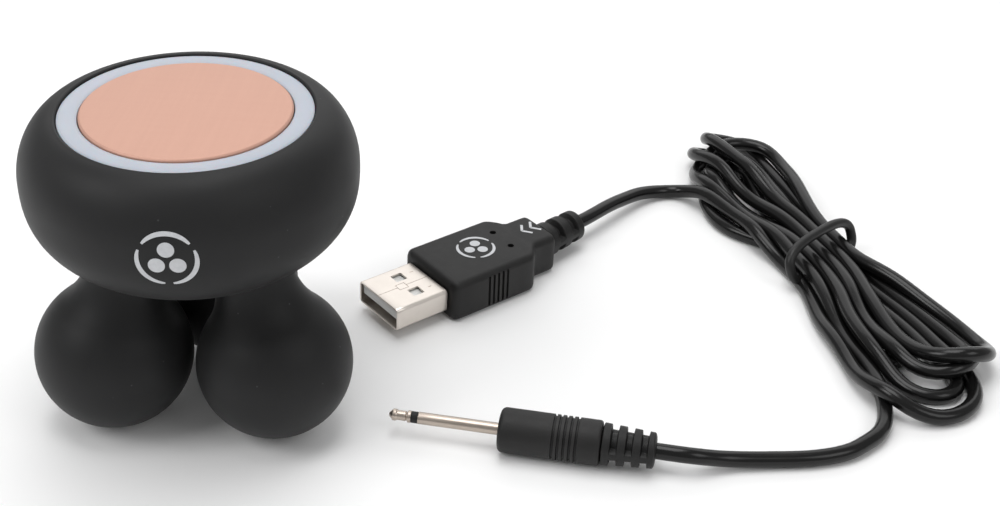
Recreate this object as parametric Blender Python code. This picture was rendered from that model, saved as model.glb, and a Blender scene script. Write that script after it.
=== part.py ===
"""Three-ball vibrating massager with its USB charging lead lying unplugged beside it.

Units are metres and +Z is up. The origin is on the surface the massager stands on, below the
middle of the massager's own box. +Y points from the middle of the head to the back ball, and
-Y is the front. Each node is one closed solid.
"""

import math

import bmesh
import bpy
from mathutils import Matrix, Vector

MM = 0.001
GAP = 0.3 * MM

# Sides of the round pieces.
HEAD_SIDES = 36
HOUSING_SIDES = 30
BALL_SIDES = 24
CORE_SIDES = 16

# Head: a squat round body whose outline is a superellipse below and above its widest circle.
HEAD_RADIUS = 26.0 * MM
HEAD_WIDEST_Z = 43.9 * MM
HEAD_BOTTOM_Z = 27.35 * MM
LIP_RADIUS = 19.4 * MM
LIP_Z = 53.2 * MM
LOWER_POWER_RADIAL = 2.1
LOWER_POWER_HEIGHT = 2.75
UPPER_POWER = 1.9
SKIN = 1.6 * MM
HOUSING_WALL = 1.4 * MM
HOUSING_INSET = SKIN + GAP
CAVITY_INSET = HOUSING_INSET + HOUSING_WALL
SPLIT_Z = 45.6 * MM

# Top: metal plate inside a light ring.
PLATE_RADIUS = 16.1 * MM
PLATE_TOP_Z = 53.3 * MM
PLATE_THICKNESS = 1.0 * MM
RING_OUTER_RADIUS = LIP_RADIUS - GAP
RING_TOP_Z = 53.1 * MM
RING_BOTTOM_Z = 50.6 * MM
SHELF_INNER_RADIUS = 17.9 * MM
SHELF_UNDER_Z = 48.9 * MM
CARRIER_RADIUS = 15.9 * MM
CARRIER_SKIRT_Z = 49.2 * MM
CARRIER_WALL = 1.5 * MM
LED_BOARD_OUTER_RADIUS = 17.5 * MM
LED_BOARD_INNER_RADIUS = 8.0 * MM
LED_BOARD_Z = (48.2 * MM, 48.9 * MM)
LED_COUNT = 6
LED_SIZE = (1.3 * MM, 2.0 * MM, 1.0 * MM)
LED_CIRCLE = 16.85 * MM

# Legs: three balls on necks that lean inwards and meet the head's underside square.
BALL_RADIUS = 12.56 * MM
BALL_CIRCLE = 15.04 * MM
LEG_AZIMUTHS = {"left": 210.0, "right": 330.0, "back": 90.0}
LEG_LEAN = math.radians(12.5)
NECK_RADIUS = 6.3 * MM
NECK_FILLET = 11.0 * MM
NECK_TO_HEAD = 16.26 * MM
SPIGOT_RADIUS = 4.0 * MM
SPIGOT_BORE = 2.8 * MM
CORE_WALL = 1.3 * MM
NUT_RADIUS = 5.6 * MM
NUT_HEIGHT = 2.0 * MM

# Vibration motors, one in each ball.
MOTOR_RADIUS = 4.0 * MM
MOTOR_TOP = 7.1 * MM
MOTOR_BOTTOM = -3.3 * MM
SOCKET_DEPTH_Z = 1.5 * MM
SOCKET_WALL = 1.1 * MM
SHAFT_RADIUS = 0.75 * MM
WEIGHT_RADIUS = 4.2 * MM
WEIGHT_HUB_RADIUS = SHAFT_RADIUS + 1.1 * MM
WEIGHT_BORE_RADIUS = SHAFT_RADIUS + 0.05 * MM
WEIGHT_TOP = -4.0 * MM
WEIGHT_BOTTOM = -7.0 * MM

# Electronics inside the head.
MAIN_BOARD_RADIUS = 16.6 * MM
MAIN_BOARD_Z = (42.0 * MM, 43.0 * MM)
BATTERY_SIZE = (26.0 * MM, 19.0 * MM, 5.2 * MM)
BATTERY_BOTTOM_Z = 36.2 * MM
CHARGE_SOCKET_RADIUS = 2.2 * MM
CHARGE_SOCKET_BORE = 1.2 * MM
CHARGE_SOCKET_Y = (4.0 * MM, 23.4 * MM)
CHARGE_HOLE_RADIUS = 1.5 * MM

# Power button on the left flank.
BUTTON_Z = 40.5 * MM
BUTTON_HALF_WIDTH = 5.2 * MM
BUTTON_HALF_HEIGHT = 3.9 * MM
BUTTON_FLANGE = 0.7 * MM
BUTTON_FLANGE_X = (-19.3 * MM, -18.5 * MM)
BUTTON_STEM_RADIUS = 1.2 * MM
BUTTON_STEM_END_X = -17.9 * MM
SWITCH_SIZE = (3.0 * MM, 5.2 * MM, 3.1 * MM)
SWITCH_X = -14.9 * MM
SWITCH_Z = 40.15 * MM
SWITCH_TIP_X = -17.0 * MM

# Screws that hold the two housings together.
SCREW_AZIMUTHS = (30.0, 150.0, 270.0)
SCREW_CIRCLE = 19.8 * MM
SCREW_RADIUS = 1.0 * MM
SCREW_HEAD_RADIUS = 1.6 * MM
SCREW_HEAD_Z = (35.0 * MM, 36.4 * MM)
SCREW_END_Z = 48.0 * MM
LOWER_BOSS_RADIUS = 2.6 * MM
UPPER_BOSS_RADIUS = 1.9 * MM

# Charging lead: USB-A plug.
USB_TIP = (25.76 * MM, 21.11 * MM)
USB_YAW = math.radians(41.8)
USB_AXIS_Z = 4.05 * MM
USB_SHELL_SIZE = (11.0 * MM, 12.0 * MM, 4.5 * MM)
USB_SHELL_WALL = 0.35 * MM
USB_WINDOW_SIZE = 2.3 * MM
USB_WINDOW_X = 6.4 * MM
USB_WINDOW_Y = 2.7 * MM
USB_TONGUE_SIZE = (10.0 * MM, 10.4 * MM, 1.8 * MM)
USB_BODY_START = 11.3 * MM
USB_BODY_SHOULDER = 29.7 * MM
USB_BODY_STEP = 32.3 * MM
USB_BODY_END = 37.6 * MM
USB_BODY_HALF_WIDTH = 7.9 * MM
USB_BODY_REAR_HALF_WIDTH = 4.9 * MM
USB_BODY_HEIGHT = 8.1 * MM
USB_BODY_EDGE = 1.2 * MM
USB_RELIEF_END = 47.5 * MM
USB_RELIEF_TURN = math.radians(7.0)
USB_RELIEF_RADII = (3.4 * MM, 3.0 * MM)
USB_RELIEF_RINGS = 3

# Charging lead: pin plug.
JACK_TIP = (31.53 * MM, -8.97 * MM)
JACK_YAW = math.radians(-6.4)
JACK_PIN_RADIUS = 1.0 * MM
JACK_POINT_LENGTH = 3.1 * MM
JACK_INSULATOR_END = 4.1 * MM
JACK_PIN_LENGTH = 18.35 * MM
JACK_BODY_RADIUS = 3.7 * MM
JACK_BODY_END = 34.95 * MM
JACK_RELIEF_END = 43.8 * MM
JACK_RELIEF_RADII = (3.6 * MM, 2.9 * MM)
JACK_RELIEF_RINGS = 4

# Charging lead: cable, wound as a flat hank through a tie ring.
CABLE_DIAMETER = 2.7 * MM
HANK_CENTRE = (107.9 * MM, 49.7 * MM)
HANK_YAW = math.atan2(-0.902, 0.431)
HANK_HEIGHT = 7.4 * MM
HANK_WAIST_BOTTOM = 2.3 * MM
HANK_WAIST_TOP = 6.6 * MM
HANK_WAIST_HALF_LENGTH = 5.7 * MM
HANK_CHAMFER = 1.8 * MM
# Along the hank, then its edges on the massager's side and on the far side, in mm.
HANK_OUTLINE = (
    (-51.5, 3.0, 9.0),
    (-49.0, -1.5, 13.0),
    (-44.0, -5.5, 15.5),
    (-36.0, -8.2, 16.0),
    (-26.0, -9.8, 14.5),
    (-16.0, -9.8, 11.5),
    (-10.0, -9.2, 9.6),
    (-5.6, -7.4, 7.4),
    (5.6, -7.4, 7.4),
    (10.0, -9.6, 8.6),
    (20.0, -13.0, 11.0),
    (30.0, -14.8, 13.0),
    (38.0, -13.5, 13.5),
    (44.0, -10.5, 9.5),
    (48.5, -6.5, 5.0),
    (50.5, -3.0, 2.0),
)
TIE_WIRE_RADIUS = 0.95 * MM
TIE_HALF_WIDTH = 9.9 * MM
TIE_HALF_HEIGHT = 3.5 * MM
TIE_YAW = math.radians(22.7)
# The cable's free stretches, from plug to hank and from hank to plug, in mm.
USB_RUN = (
    (66.6, 61.6, 3.75),
    (69.4, 65.4, 3.2),
    (73.4, 70.2, 2.3),
    (77.7, 72.9, 1.6),
    (81.8, 73.7, 1.4),
    (85.2, 72.7, 1.4),
)
JACK_RUN = (
    (114.3, 5.4, 1.4),
    (113.9, 1.2, 1.4),
    (112.6, -2.2, 1.4),
    (110.4, -4.8, 1.4),
    (106.4, -8.1, 1.4),
    (100.6, -10.2, 1.4),
    (93.4, -11.4, 1.5),
    (86.4, -12.6, 2.0),
)

COLOURS = {
    "black_silicone": (0.022, 0.022, 0.024, 0.62, 0.0),
    "rose_gold": (0.76, 0.44, 0.36, 0.35, 0.85),
    "milky_ring": (0.52, 0.56, 0.60, 0.45, 0.0),
    "grey_housing": (0.12, 0.12, 0.13, 0.5, 0.0),
    "green_board": (0.02, 0.12, 0.05, 0.5, 0.0),
    "white_led": (0.85, 0.85, 0.78, 0.35, 0.0),
    "battery_foil": (0.55, 0.56, 0.58, 0.35, 0.7),
    "motor_steel": (0.55, 0.55, 0.56, 0.3, 1.0),
    "weight_brass": (0.6, 0.47, 0.22, 0.35, 1.0),
    "nickel": (0.72, 0.69, 0.65, 0.25, 1.0),
    "white_plastic": (0.82, 0.82, 0.8, 0.45, 0.0),
    "black_plug": (0.015, 0.015, 0.016, 0.45, 0.0),
    "black_cable": (0.012, 0.012, 0.013, 0.35, 0.0),
}


def clear_scene():
    """Remove every object that is already there."""
    for old in list(bpy.data.objects):
        bpy.data.objects.remove(old, do_unlink=True)


def material(name):
    """Return the named Principled material, made once from COLOURS."""
    found = bpy.data.materials.get(name)
    if found:
        return found
    red, green, blue, roughness, metallic = COLOURS[name]
    made = bpy.data.materials.new(name)
    made.use_nodes = True
    shader = made.node_tree.nodes["Principled BSDF"]
    shader.inputs["Base Color"].default_value = (red, green, blue, 1.0)
    shader.inputs["Roughness"].default_value = roughness
    shader.inputs["Metallic"].default_value = metallic
    return made


def add_object(name, data, place, finish):
    """Link an object with its material at a place, which is a matrix."""
    made = bpy.data.objects.new(name, data)
    made.matrix_world = place
    bpy.context.scene.collection.objects.link(made)
    if finish:
        data.materials.append(material(finish))
    return made


def as_cutter(shape):
    """Mark an object as a tool for a Boolean: it is no part of the model."""
    shape.hide_render = True
    shape.display_type = "WIRE"
    return shape


def boolean(target, tool, operation):
    """Add an exact Boolean modifier."""
    step = target.modifiers.new(tool.name, "BOOLEAN")
    step.operation = operation
    step.solver = "EXACT"
    step.object = tool


def cut(target, *tools):
    """Subtract tools from the target."""
    for tool in tools:
        boolean(target, tool, "DIFFERENCE")


def axis_place(azimuth_degrees, radius, height):
    """Matrix of a point on a circle round the head's axis, with X pointing outwards."""
    turn = Matrix.Rotation(math.radians(azimuth_degrees), 4, "Z")
    return HEAD_PLACE @ turn @ Matrix.Translation((radius, 0.0, height))


def turned(name, profile, steps, finish=None, place=None):
    """A piece turned about its local Z axis from an outline of (radius, height) points.

    The outline closes on itself, or along the axis between two points of radius 0.
    """
    twice_area = 0.0
    for (r0, z0), (r1, z1) in zip(profile, profile[1:] + profile[:1]):
        twice_area += r0 * z1 - r1 * z0
    points = list(profile)
    for i in range(len(points) - 1):
        if points[i][0] == 0.0 and points[i + 1][0] == 0.0:
            points = points[i + 1:] + points[: i + 1]
            break
    if twice_area > 0:
        points.reverse()
    on_axis = points[0][0] == 0.0 and points[-1][0] == 0.0
    edges = [(i, i + 1) for i in range(len(points) - 1)]
    if not on_axis:
        edges.append((len(points) - 1, 0))
    mesh = bpy.data.meshes.new(name)
    mesh.from_pydata([(r, 0.0, z) for r, z in points], edges, [])
    made = add_object(name, mesh, place or HEAD_PLACE, finish)
    screw = made.modifiers.new("turn", "SCREW")
    screw.axis = "Z"
    screw.angle = math.tau
    screw.steps = steps
    screw.render_steps = steps
    screw.use_merge_vertices = True
    screw.merge_threshold = 0.00001
    screw.use_smooth_shade = True
    return made


def cylinder(name, radius, low, high, steps, finish=None, place=None):
    """A plain round bar along its local Z axis."""
    outline = [(0.0, high), (radius, high), (radius, low), (0.0, low)]
    return turned(name, outline, steps, finish, place)


def tube_ring(name, outer, inner, low, high, steps, finish=None, place=None):
    """A plain round sleeve along its local Z axis."""
    outline = [(outer, high), (outer, low), (inner, low), (inner, high)]
    return turned(name, outline, steps, finish, place)


def block(name, size, centre, finish=None, place=None, edge=0.0):
    """A rectangular block, with its edges rounded by a bevel where edge is given."""
    builder = bmesh.new()
    bmesh.ops.create_cube(builder, size=1.0)
    bmesh.ops.scale(builder, vec=size, verts=builder.verts)
    bmesh.ops.translate(builder, vec=centre, verts=builder.verts)
    mesh = bpy.data.meshes.new(name)
    builder.to_mesh(mesh)
    builder.free()
    made = add_object(name, mesh, place or HEAD_PLACE, finish)
    if edge:
        add_bevel(made, edge)
    return made


def add_bevel(made, width, segments=2):
    """Round an object's sharp edges."""
    bevel = made.modifiers.new("edges", "BEVEL")
    bevel.width = width
    bevel.segments = segments
    bevel.limit_method = "ANGLE"


def oval_along_x(name, half_width, half_height, low, high, finish=None, sides=32):
    """An oval bar along the head frame's X axis at the button's height."""
    builder = bmesh.new()
    ring = []
    for i in range(sides):
        angle = math.tau * i / sides
        spot = (low, half_width * math.cos(angle), BUTTON_Z + half_height * math.sin(angle))
        ring.append(builder.verts.new(spot))
    face = builder.faces.new(ring)
    grown = bmesh.ops.extrude_face_region(builder, geom=[face])
    moved = [item for item in grown["geom"] if isinstance(item, bmesh.types.BMVert)]
    bmesh.ops.translate(builder, vec=(high - low, 0.0, 0.0), verts=moved)
    bmesh.ops.recalc_face_normals(builder, faces=builder.faces)
    mesh = bpy.data.meshes.new(name)
    builder.to_mesh(mesh)
    builder.free()
    return add_object(name, mesh, HEAD_PLACE, finish)


# ---------------------------------------------------------------- head outline


def head_outline(inset, lower_points=10, upper_points=6):
    """The head's outline from its lip down to its axis, moved inwards by inset."""
    points = []
    for i in range(upper_points):
        angle = math.pi / 2 * (1 - i / upper_points)
        radius = LIP_RADIUS + (HEAD_RADIUS - LIP_RADIUS) * math.cos(angle) ** (2 / UPPER_POWER)
        height = HEAD_WIDEST_Z + (LIP_Z - HEAD_WIDEST_Z) * math.sin(angle) ** (2 / UPPER_POWER)
        points.append((radius, height))
    for i in range(lower_points):
        angle = math.pi / 2 * i / (lower_points - 1)
        radius = HEAD_RADIUS * abs(math.cos(angle)) ** (2 / LOWER_POWER_RADIAL)
        drop = (HEAD_WIDEST_Z - HEAD_BOTTOM_Z) * math.sin(angle) ** (2 / LOWER_POWER_HEIGHT)
        points.append((radius, HEAD_WIDEST_Z - drop))
    points[0] = (LIP_RADIUS, LIP_Z)
    points[-1] = (0.0, HEAD_BOTTOM_Z)
    if not inset:
        return points
    moved = []
    for i, (radius, height) in enumerate(points):
        before = points[max(i - 1, 0)]
        after = points[min(i + 1, len(points) - 1)]
        run = after[0] - before[0]
        rise = after[1] - before[1]
        length = math.hypot(run, rise)
        moved.append((radius + inset * rise / length, height - inset * run / length))
    moved[0] = (LIP_RADIUS, LIP_Z - inset)
    moved[-1] = (0.0, HEAD_BOTTOM_Z + inset)
    return moved


def outline_between(inset, high, low):
    """The stretch of the moved outline between two heights, cut square at both."""
    points = head_outline(inset)
    kept = []
    for (r0, z0), (r1, z1) in zip(points, points[1:]):
        for level in (high, low):
            if (z0 - level) * (z1 - level) < 0:
                share = (level - z0) / (z1 - z0)
                kept.append((r0 + (r1 - r0) * share, level))
        if low < z1 < high:
            kept.append((r1, z1))
    return sorted(kept, key=lambda point: -point[1])


# ---------------------------------------------------------------- head pieces


def leg_place(name):
    """Matrix of a leg: origin at the ball's centre, local Z up along the leaning neck."""
    lean = Matrix.Rotation(-LEG_LEAN, 4, "Y")
    return axis_place(LEG_AZIMUTHS[name], BALL_CIRCLE, BALL_RADIUS) @ lean


def spun_cutter(label, outline, steps, places):
    """One cutter made of the same turned body at several places."""
    builder = bmesh.new()
    for place in places:
        body = bmesh.new()
        verts = [body.verts.new((radius, 0.0, height)) for radius, height in outline]
        edges = [body.edges.new(pair) for pair in zip(verts, verts[1:])]
        bmesh.ops.spin(
            body,
            geom=verts + edges,
            cent=(0.0, 0.0, 0.0),
            axis=(0.0, 0.0, 1.0),
            angle=math.tau,
            steps=steps,
            use_merge=True,
        )
        bmesh.ops.remove_doubles(body, verts=body.verts, dist=0.01 * MM)
        bmesh.ops.recalc_face_normals(body, faces=body.faces)
        body.transform(place)
        piece = bpy.data.meshes.new(label)
        body.to_mesh(piece)
        body.free()
        builder.from_mesh(piece)
        bpy.data.meshes.remove(piece)
    mesh = bpy.data.meshes.new(label)
    builder.to_mesh(mesh)
    builder.free()
    return as_cutter(add_object(label, mesh, Matrix.Identity(4), None))


def bar_outline(radius, low, high):
    """Outline of a plain round bar that starts and ends on its axis."""
    return [(0.0, high), (radius, high), (radius, low), (0.0, low)]


def leg_places():
    """The matrices of the three legs."""
    return [leg_place(name) for name in LEG_AZIMUTHS]


def screw_places():
    """The matrices of the three housing screws."""
    return [axis_place(azimuth, SCREW_CIRCLE, 0.0) for azimuth in SCREW_AZIMUTHS]


def spigot_cutter():
    """Stepped cutter: a hole for each leg's spigot, opening into a flat seat for its nut."""
    hole = SPIGOT_RADIUS + GAP
    face = NUT_RADIUS + GAP
    seat = NECK_TO_HEAD + CAVITY_INSET
    high = seat + 2 * NUT_HEIGHT
    low = NECK_TO_HEAD - SKIN
    outline = [(0.0, high), (face, high), (face, seat), (hole, seat), (hole, low), (0.0, low)]
    return spun_cutter("spigot_hole", outline, 18, leg_places())


def charge_cutter(label, radius):
    """A round cutter for the charging hole, along +Y from the head's axis."""
    turn = Matrix.Rotation(-math.pi / 2, 4, "X")
    place = HEAD_PLACE @ Matrix.Translation((0.0, 0.0, SPLIT_Z)) @ turn
    return spun_cutter(label, bar_outline(radius, 15 * MM, 30 * MM), 16, [place])


def make_head_sleeve():
    """Soft outer skin of the head, with openings for the necks, the button and the charging pin."""
    outer = head_outline(0.0)
    inner = head_outline(SKIN)
    sleeve = turned("head_sleeve", outer + inner[::-1], HEAD_SIDES, "black_silicone")
    neck = bar_outline(NECK_RADIUS + GAP, 13 * MM, 21 * MM)
    necks = spun_cutter("sleeve_neck_hole", neck, 20, leg_places())
    button = oval_along_x(
        "sleeve_button_hole",
        BUTTON_HALF_WIDTH + GAP,
        BUTTON_HALF_HEIGHT + GAP,
        -30 * MM,
        -21 * MM,
    )
    cut(sleeve, necks, as_cutter(button), charge_cutter("sleeve_charge_hole", CHARGE_HOLE_RADIUS))


def make_top():
    """Metal plate, light ring, the carrier under the plate and the board with its lamps."""
    chamfer = GAP
    plate_bottom = PLATE_TOP_Z - PLATE_THICKNESS
    plate = [
        (0.0, PLATE_TOP_Z),
        (PLATE_RADIUS - chamfer, PLATE_TOP_Z),
        (PLATE_RADIUS, PLATE_TOP_Z - chamfer),
        (PLATE_RADIUS, plate_bottom),
        (0.0, plate_bottom),
    ]
    turned("touch_plate", plate, 48, "rose_gold")

    ring_inner = PLATE_RADIUS + GAP
    ring = [
        (ring_inner + chamfer, RING_TOP_Z),
        (RING_OUTER_RADIUS - chamfer, RING_TOP_Z),
        (RING_OUTER_RADIUS, RING_TOP_Z - chamfer),
        (RING_OUTER_RADIUS, RING_BOTTOM_Z),
        (ring_inner, RING_BOTTOM_Z),
        (ring_inner, RING_TOP_Z - chamfer),
    ]
    turned("light_ring", ring, 48, "milky_ring")

    carrier_top = plate_bottom - GAP
    carrier = [
        (0.0, carrier_top),
        (CARRIER_RADIUS, carrier_top),
        (CARRIER_RADIUS, CARRIER_SKIRT_Z),
        (CARRIER_RADIUS - CARRIER_WALL, CARRIER_SKIRT_Z),
        (CARRIER_RADIUS - CARRIER_WALL, carrier_top - CARRIER_WALL),
        (0.0, carrier_top - CARRIER_WALL),
    ]
    turned("plate_carrier", carrier, 32, "grey_housing")

    low, high = LED_BOARD_Z
    tube_ring("led_board", LED_BOARD_OUTER_RADIUS, LED_BOARD_INNER_RADIUS, low, high, 32, "green_board")
    for i in range(LED_COUNT):
        place = axis_place(360.0 * i / LED_COUNT, LED_CIRCLE, high + GAP)
        block(f"led_{i + 1}", LED_SIZE, (0.0, 0.0, LED_SIZE[2] / 2), "white_led", place)


def make_top_housing():
    """Upper half of the inner shell, with the shelf that the light ring stands on."""
    bottom = SPLIT_Z + GAP / 2
    outer = outline_between(HOUSING_INSET, LIP_Z - HOUSING_INSET - 0.1 * MM, bottom)
    inner = outline_between(CAVITY_INSET, SHELF_UNDER_Z, bottom)
    shelf_top = RING_BOTTOM_Z - GAP
    shelf = [
        (SHELF_INNER_RADIUS, SHELF_UNDER_Z),
        (SHELF_INNER_RADIUS, shelf_top),
        (RING_OUTER_RADIUS + GAP, shelf_top),
    ]
    housing = turned("top_housing", outer + inner[::-1] + shelf, HOUSING_SIDES, "grey_housing")
    boss = bar_outline(UPPER_BOSS_RADIUS, bottom + GAP, SHELF_UNDER_Z + GAP)
    boolean(housing, spun_cutter("upper_boss", boss, 14, screw_places()), "UNION")
    pilot = bar_outline(SCREW_RADIUS + GAP, 40 * MM, SCREW_END_Z + GAP)
    cut(housing, spun_cutter("upper_pilot", pilot, 12, screw_places()))
    cut(housing, charge_cutter("upper_charge_notch", CHARGE_SOCKET_RADIUS + GAP))


def make_bottom_housing():
    """Lower half of the inner shell, a bowl with screw bosses and a seat for each leg's nut."""
    rim = SPLIT_Z - GAP / 2
    outer = outline_between(HOUSING_INSET, rim, 0.0)
    bowl = turned("bottom_housing", [(0.0, rim)] + outer, HOUSING_SIDES, "grey_housing")
    inner = outline_between(CAVITY_INSET, rim, 0.0)
    above = rim + 2 * MM
    cavity = turned("bowl_cavity", [(0.0, above), (inner[0][0], above)] + inner, HOUSING_SIDES)
    as_cutter(cavity)
    boss = bar_outline(LOWER_BOSS_RADIUS, 25 * MM, 60 * MM)
    cut(cavity, spun_cutter("lower_boss", boss, 14, screw_places()))
    cut(bowl, cavity)
    cut(bowl, spigot_cutter())
    hole = SCREW_RADIUS + GAP
    recess = SCREW_HEAD_RADIUS + GAP
    step = SCREW_HEAD_Z[1] + GAP
    low = 25 * MM
    high = 60 * MM
    screw = [(0.0, high), (hole, high), (hole, step), (recess, step), (recess, low), (0.0, low)]
    cut(bowl, spun_cutter("screw_hole", screw, 12, screw_places()))
    button = oval_along_x(
        "housing_button_hole",
        BUTTON_HALF_WIDTH + GAP,
        BUTTON_HALF_HEIGHT + GAP,
        -30 * MM,
        -17.5 * MM,
    )
    cut(bowl, as_cutter(button), charge_cutter("lower_charge_notch", CHARGE_SOCKET_RADIUS + GAP))


def make_screws():
    """Pan-head screws that pull the two halves of the inner shell together."""
    head_low, head_high = SCREW_HEAD_Z
    outline = [
        (0.0, SCREW_END_Z),
        (SCREW_RADIUS, SCREW_END_Z - 0.6 * MM),
        (SCREW_RADIUS, head_high),
        (SCREW_HEAD_RADIUS, head_high),
        (SCREW_HEAD_RADIUS, head_low + 0.3 * MM),
        (SCREW_HEAD_RADIUS - 0.4 * MM, head_low),
        (0.0, head_low),
    ]
    for i, azimuth in enumerate(SCREW_AZIMUTHS):
        place = axis_place(azimuth, SCREW_CIRCLE, 0.0)
        turned(f"housing_screw_{i + 1}", outline, 12, "motor_steel", place)


def make_electronics():
    """Main board, battery, charging socket and the switch behind the button."""
    low, high = MAIN_BOARD_Z
    cylinder("main_board", MAIN_BOARD_RADIUS, low, high, 32, "green_board")

    battery_centre = (0.0, 0.0, BATTERY_BOTTOM_Z + BATTERY_SIZE[2] / 2)
    block("battery_cell", BATTERY_SIZE, battery_centre, "battery_foil", None, 0.8 * MM)

    inner_end, mouth = CHARGE_SOCKET_Y
    socket = [
        (0.0, inner_end + 1 * MM),
        (CHARGE_SOCKET_BORE, inner_end + 1 * MM),
        (CHARGE_SOCKET_BORE, mouth),
        (CHARGE_SOCKET_RADIUS, mouth),
        (CHARGE_SOCKET_RADIUS, inner_end),
        (0.0, inner_end),
    ]
    turn = Matrix.Rotation(-math.pi / 2, 4, "X")
    place = HEAD_PLACE @ Matrix.Translation((0.0, 0.0, SPLIT_Z)) @ turn
    turned("charging_socket", socket, 20, "black_plug", place)

    centre = (SWITCH_X, 0.0, SWITCH_Z)
    switch = block("power_switch", SWITCH_SIZE, centre, "nickel")
    tip_start = SWITCH_X - SWITCH_SIZE[0] / 4
    length = tip_start - SWITCH_TIP_X
    tip_size = (length, 2.4 * MM, 1.4 * MM)
    tip_centre = (SWITCH_TIP_X + length / 2, 0.0, SWITCH_Z)
    tip = as_cutter(block("switch_tip", tip_size, tip_centre))
    boolean(switch, tip, "UNION")


def make_power_button():
    """Oval button that slides inwards through the skin and the shell onto the switch."""
    flange_out, flange_in = BUTTON_FLANGE_X
    button = oval_along_x(
        "power_button", BUTTON_HALF_WIDTH, BUTTON_HALF_HEIGHT, -28 * MM, flange_out, "black_silicone"
    )
    body = as_cutter(turned("button_face_shape", [(0.0, LIP_Z)] + head_outline(0.0), HEAD_SIDES))
    boolean(button, body, "INTERSECT")
    flange = oval_along_x(
        "button_flange",
        BUTTON_HALF_WIDTH + BUTTON_FLANGE,
        BUTTON_HALF_HEIGHT + BUTTON_FLANGE,
        flange_out - 0.1 * MM,
        flange_in,
    )
    boolean(button, as_cutter(flange), "UNION")
    place = HEAD_PLACE @ Matrix.Translation((0.0, 0.0, SWITCH_Z)) @ Matrix.Rotation(math.pi / 2, 4, "Y")
    stem = cylinder(
        "button_stem", BUTTON_STEM_RADIUS, flange_in - 0.5 * MM, BUTTON_STEM_END_X, 12, None, place
    )
    boolean(button, as_cutter(stem), "UNION")


# ---------------------------------------------------------------- legs


def arc(centre, radius, start, end, steps):
    """Points on an arc in the outline plane; angles in degrees from the radial direction."""
    points = []
    for i in range(steps + 1):
        angle = math.radians(start + (end - start) * i / steps)
        points.append((centre[0] + radius * math.cos(angle), centre[1] + radius * math.sin(angle)))
    return points


def ball_outline(ball, neck, fillet, top, steps):
    """Ball and neck outline from the top of the neck down to the ball's lowest point."""
    centre_r = neck + fillet
    centre_z = math.sqrt((ball + fillet) ** 2 - centre_r**2)
    meeting = math.degrees(math.atan2(centre_z, centre_r))
    points = [(neck, top)]
    points += arc((centre_r, centre_z), fillet, 180.0, 180.0 + meeting, 3)
    points += arc((0.0, 0.0), ball, meeting, -90.0, steps)[1:]
    points[-1] = (0.0, -ball)
    return points


def make_leg(name):
    """One ball leg: skin, two-piece hard core, motor, shaft, weight and the nut inside the head."""
    place = leg_place(name)
    skin_outer = ball_outline(BALL_RADIUS, NECK_RADIUS, NECK_FILLET, NECK_TO_HEAD + SKIN, 9)
    skin_neck = SPIGOT_RADIUS + GAP
    skin_ball = BALL_RADIUS - SKIN
    skin_inner = ball_outline(skin_ball, skin_neck, NECK_FILLET + SKIN, NECK_TO_HEAD + SKIN, 7)
    turned(f"ball_sleeve_{name}", skin_outer + skin_inner[::-1], BALL_SIDES, "black_silicone", place)

    core_outer = skin_ball - GAP
    core_inner = core_outer - CORE_WALL
    spigot_top = NECK_TO_HEAD + CAVITY_INSET + GAP + NUT_HEIGHT + GAP
    half_gap = GAP / 2
    shell = ball_outline(core_outer, SPIGOT_RADIUS, NECK_FILLET + SKIN, spigot_top, 7)
    shell = [point for point in shell if point[1] > half_gap]
    socket_inner = MOTOR_RADIUS + GAP
    socket_outer = socket_inner + SOCKET_WALL
    roof = math.sqrt(core_inner**2 - socket_outer**2)
    wall_angle = math.degrees(math.asin(half_gap / core_inner))
    roof_angle = math.degrees(math.asin(roof / core_inner))
    rim_outer = math.sqrt(core_outer**2 - half_gap**2)
    upper = shell + [(rim_outer, half_gap)]
    upper += arc((0.0, 0.0), core_inner, wall_angle, roof_angle, 4)
    upper += [
        (socket_outer, SOCKET_DEPTH_Z),
        (socket_inner, SOCKET_DEPTH_Z),
        (socket_inner, MOTOR_TOP + GAP),
        (SPIGOT_BORE, MOTOR_TOP + GAP),
        (SPIGOT_BORE, spigot_top),
    ]
    turned(f"ball_core_upper_{name}", upper, CORE_SIDES, "grey_housing", place)

    lower = arc((0.0, 0.0), core_outer, -math.degrees(math.asin(half_gap / core_outer)), -90.0, 5)
    lower[-1] = (0.0, -core_outer)
    inside = arc((0.0, 0.0), core_inner, -90.0, -wall_angle, 4)
    inside[0] = (0.0, -core_inner)
    turned(f"ball_core_lower_{name}", lower + inside, CORE_SIDES, "grey_housing", place)

    motor = f"vibration_motor_{name}"
    cylinder(motor, MOTOR_RADIUS, MOTOR_BOTTOM, MOTOR_TOP, CORE_SIDES, "motor_steel", place)
    shaft_top = MOTOR_BOTTOM - GAP
    shaft_bottom = WEIGHT_BOTTOM - GAP
    cylinder(f"motor_shaft_{name}", SHAFT_RADIUS, shaft_bottom, shaft_top, 12, "motor_steel", place)
    make_weight(name, place)

    nut_low = NECK_TO_HEAD + CAVITY_INSET + GAP
    tube_ring(
        f"leg_nut_{name}",
        NUT_RADIUS,
        SPIGOT_RADIUS + GAP,
        nut_low,
        nut_low + NUT_HEIGHT,
        20,
        "white_plastic",
        place,
    )


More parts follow.
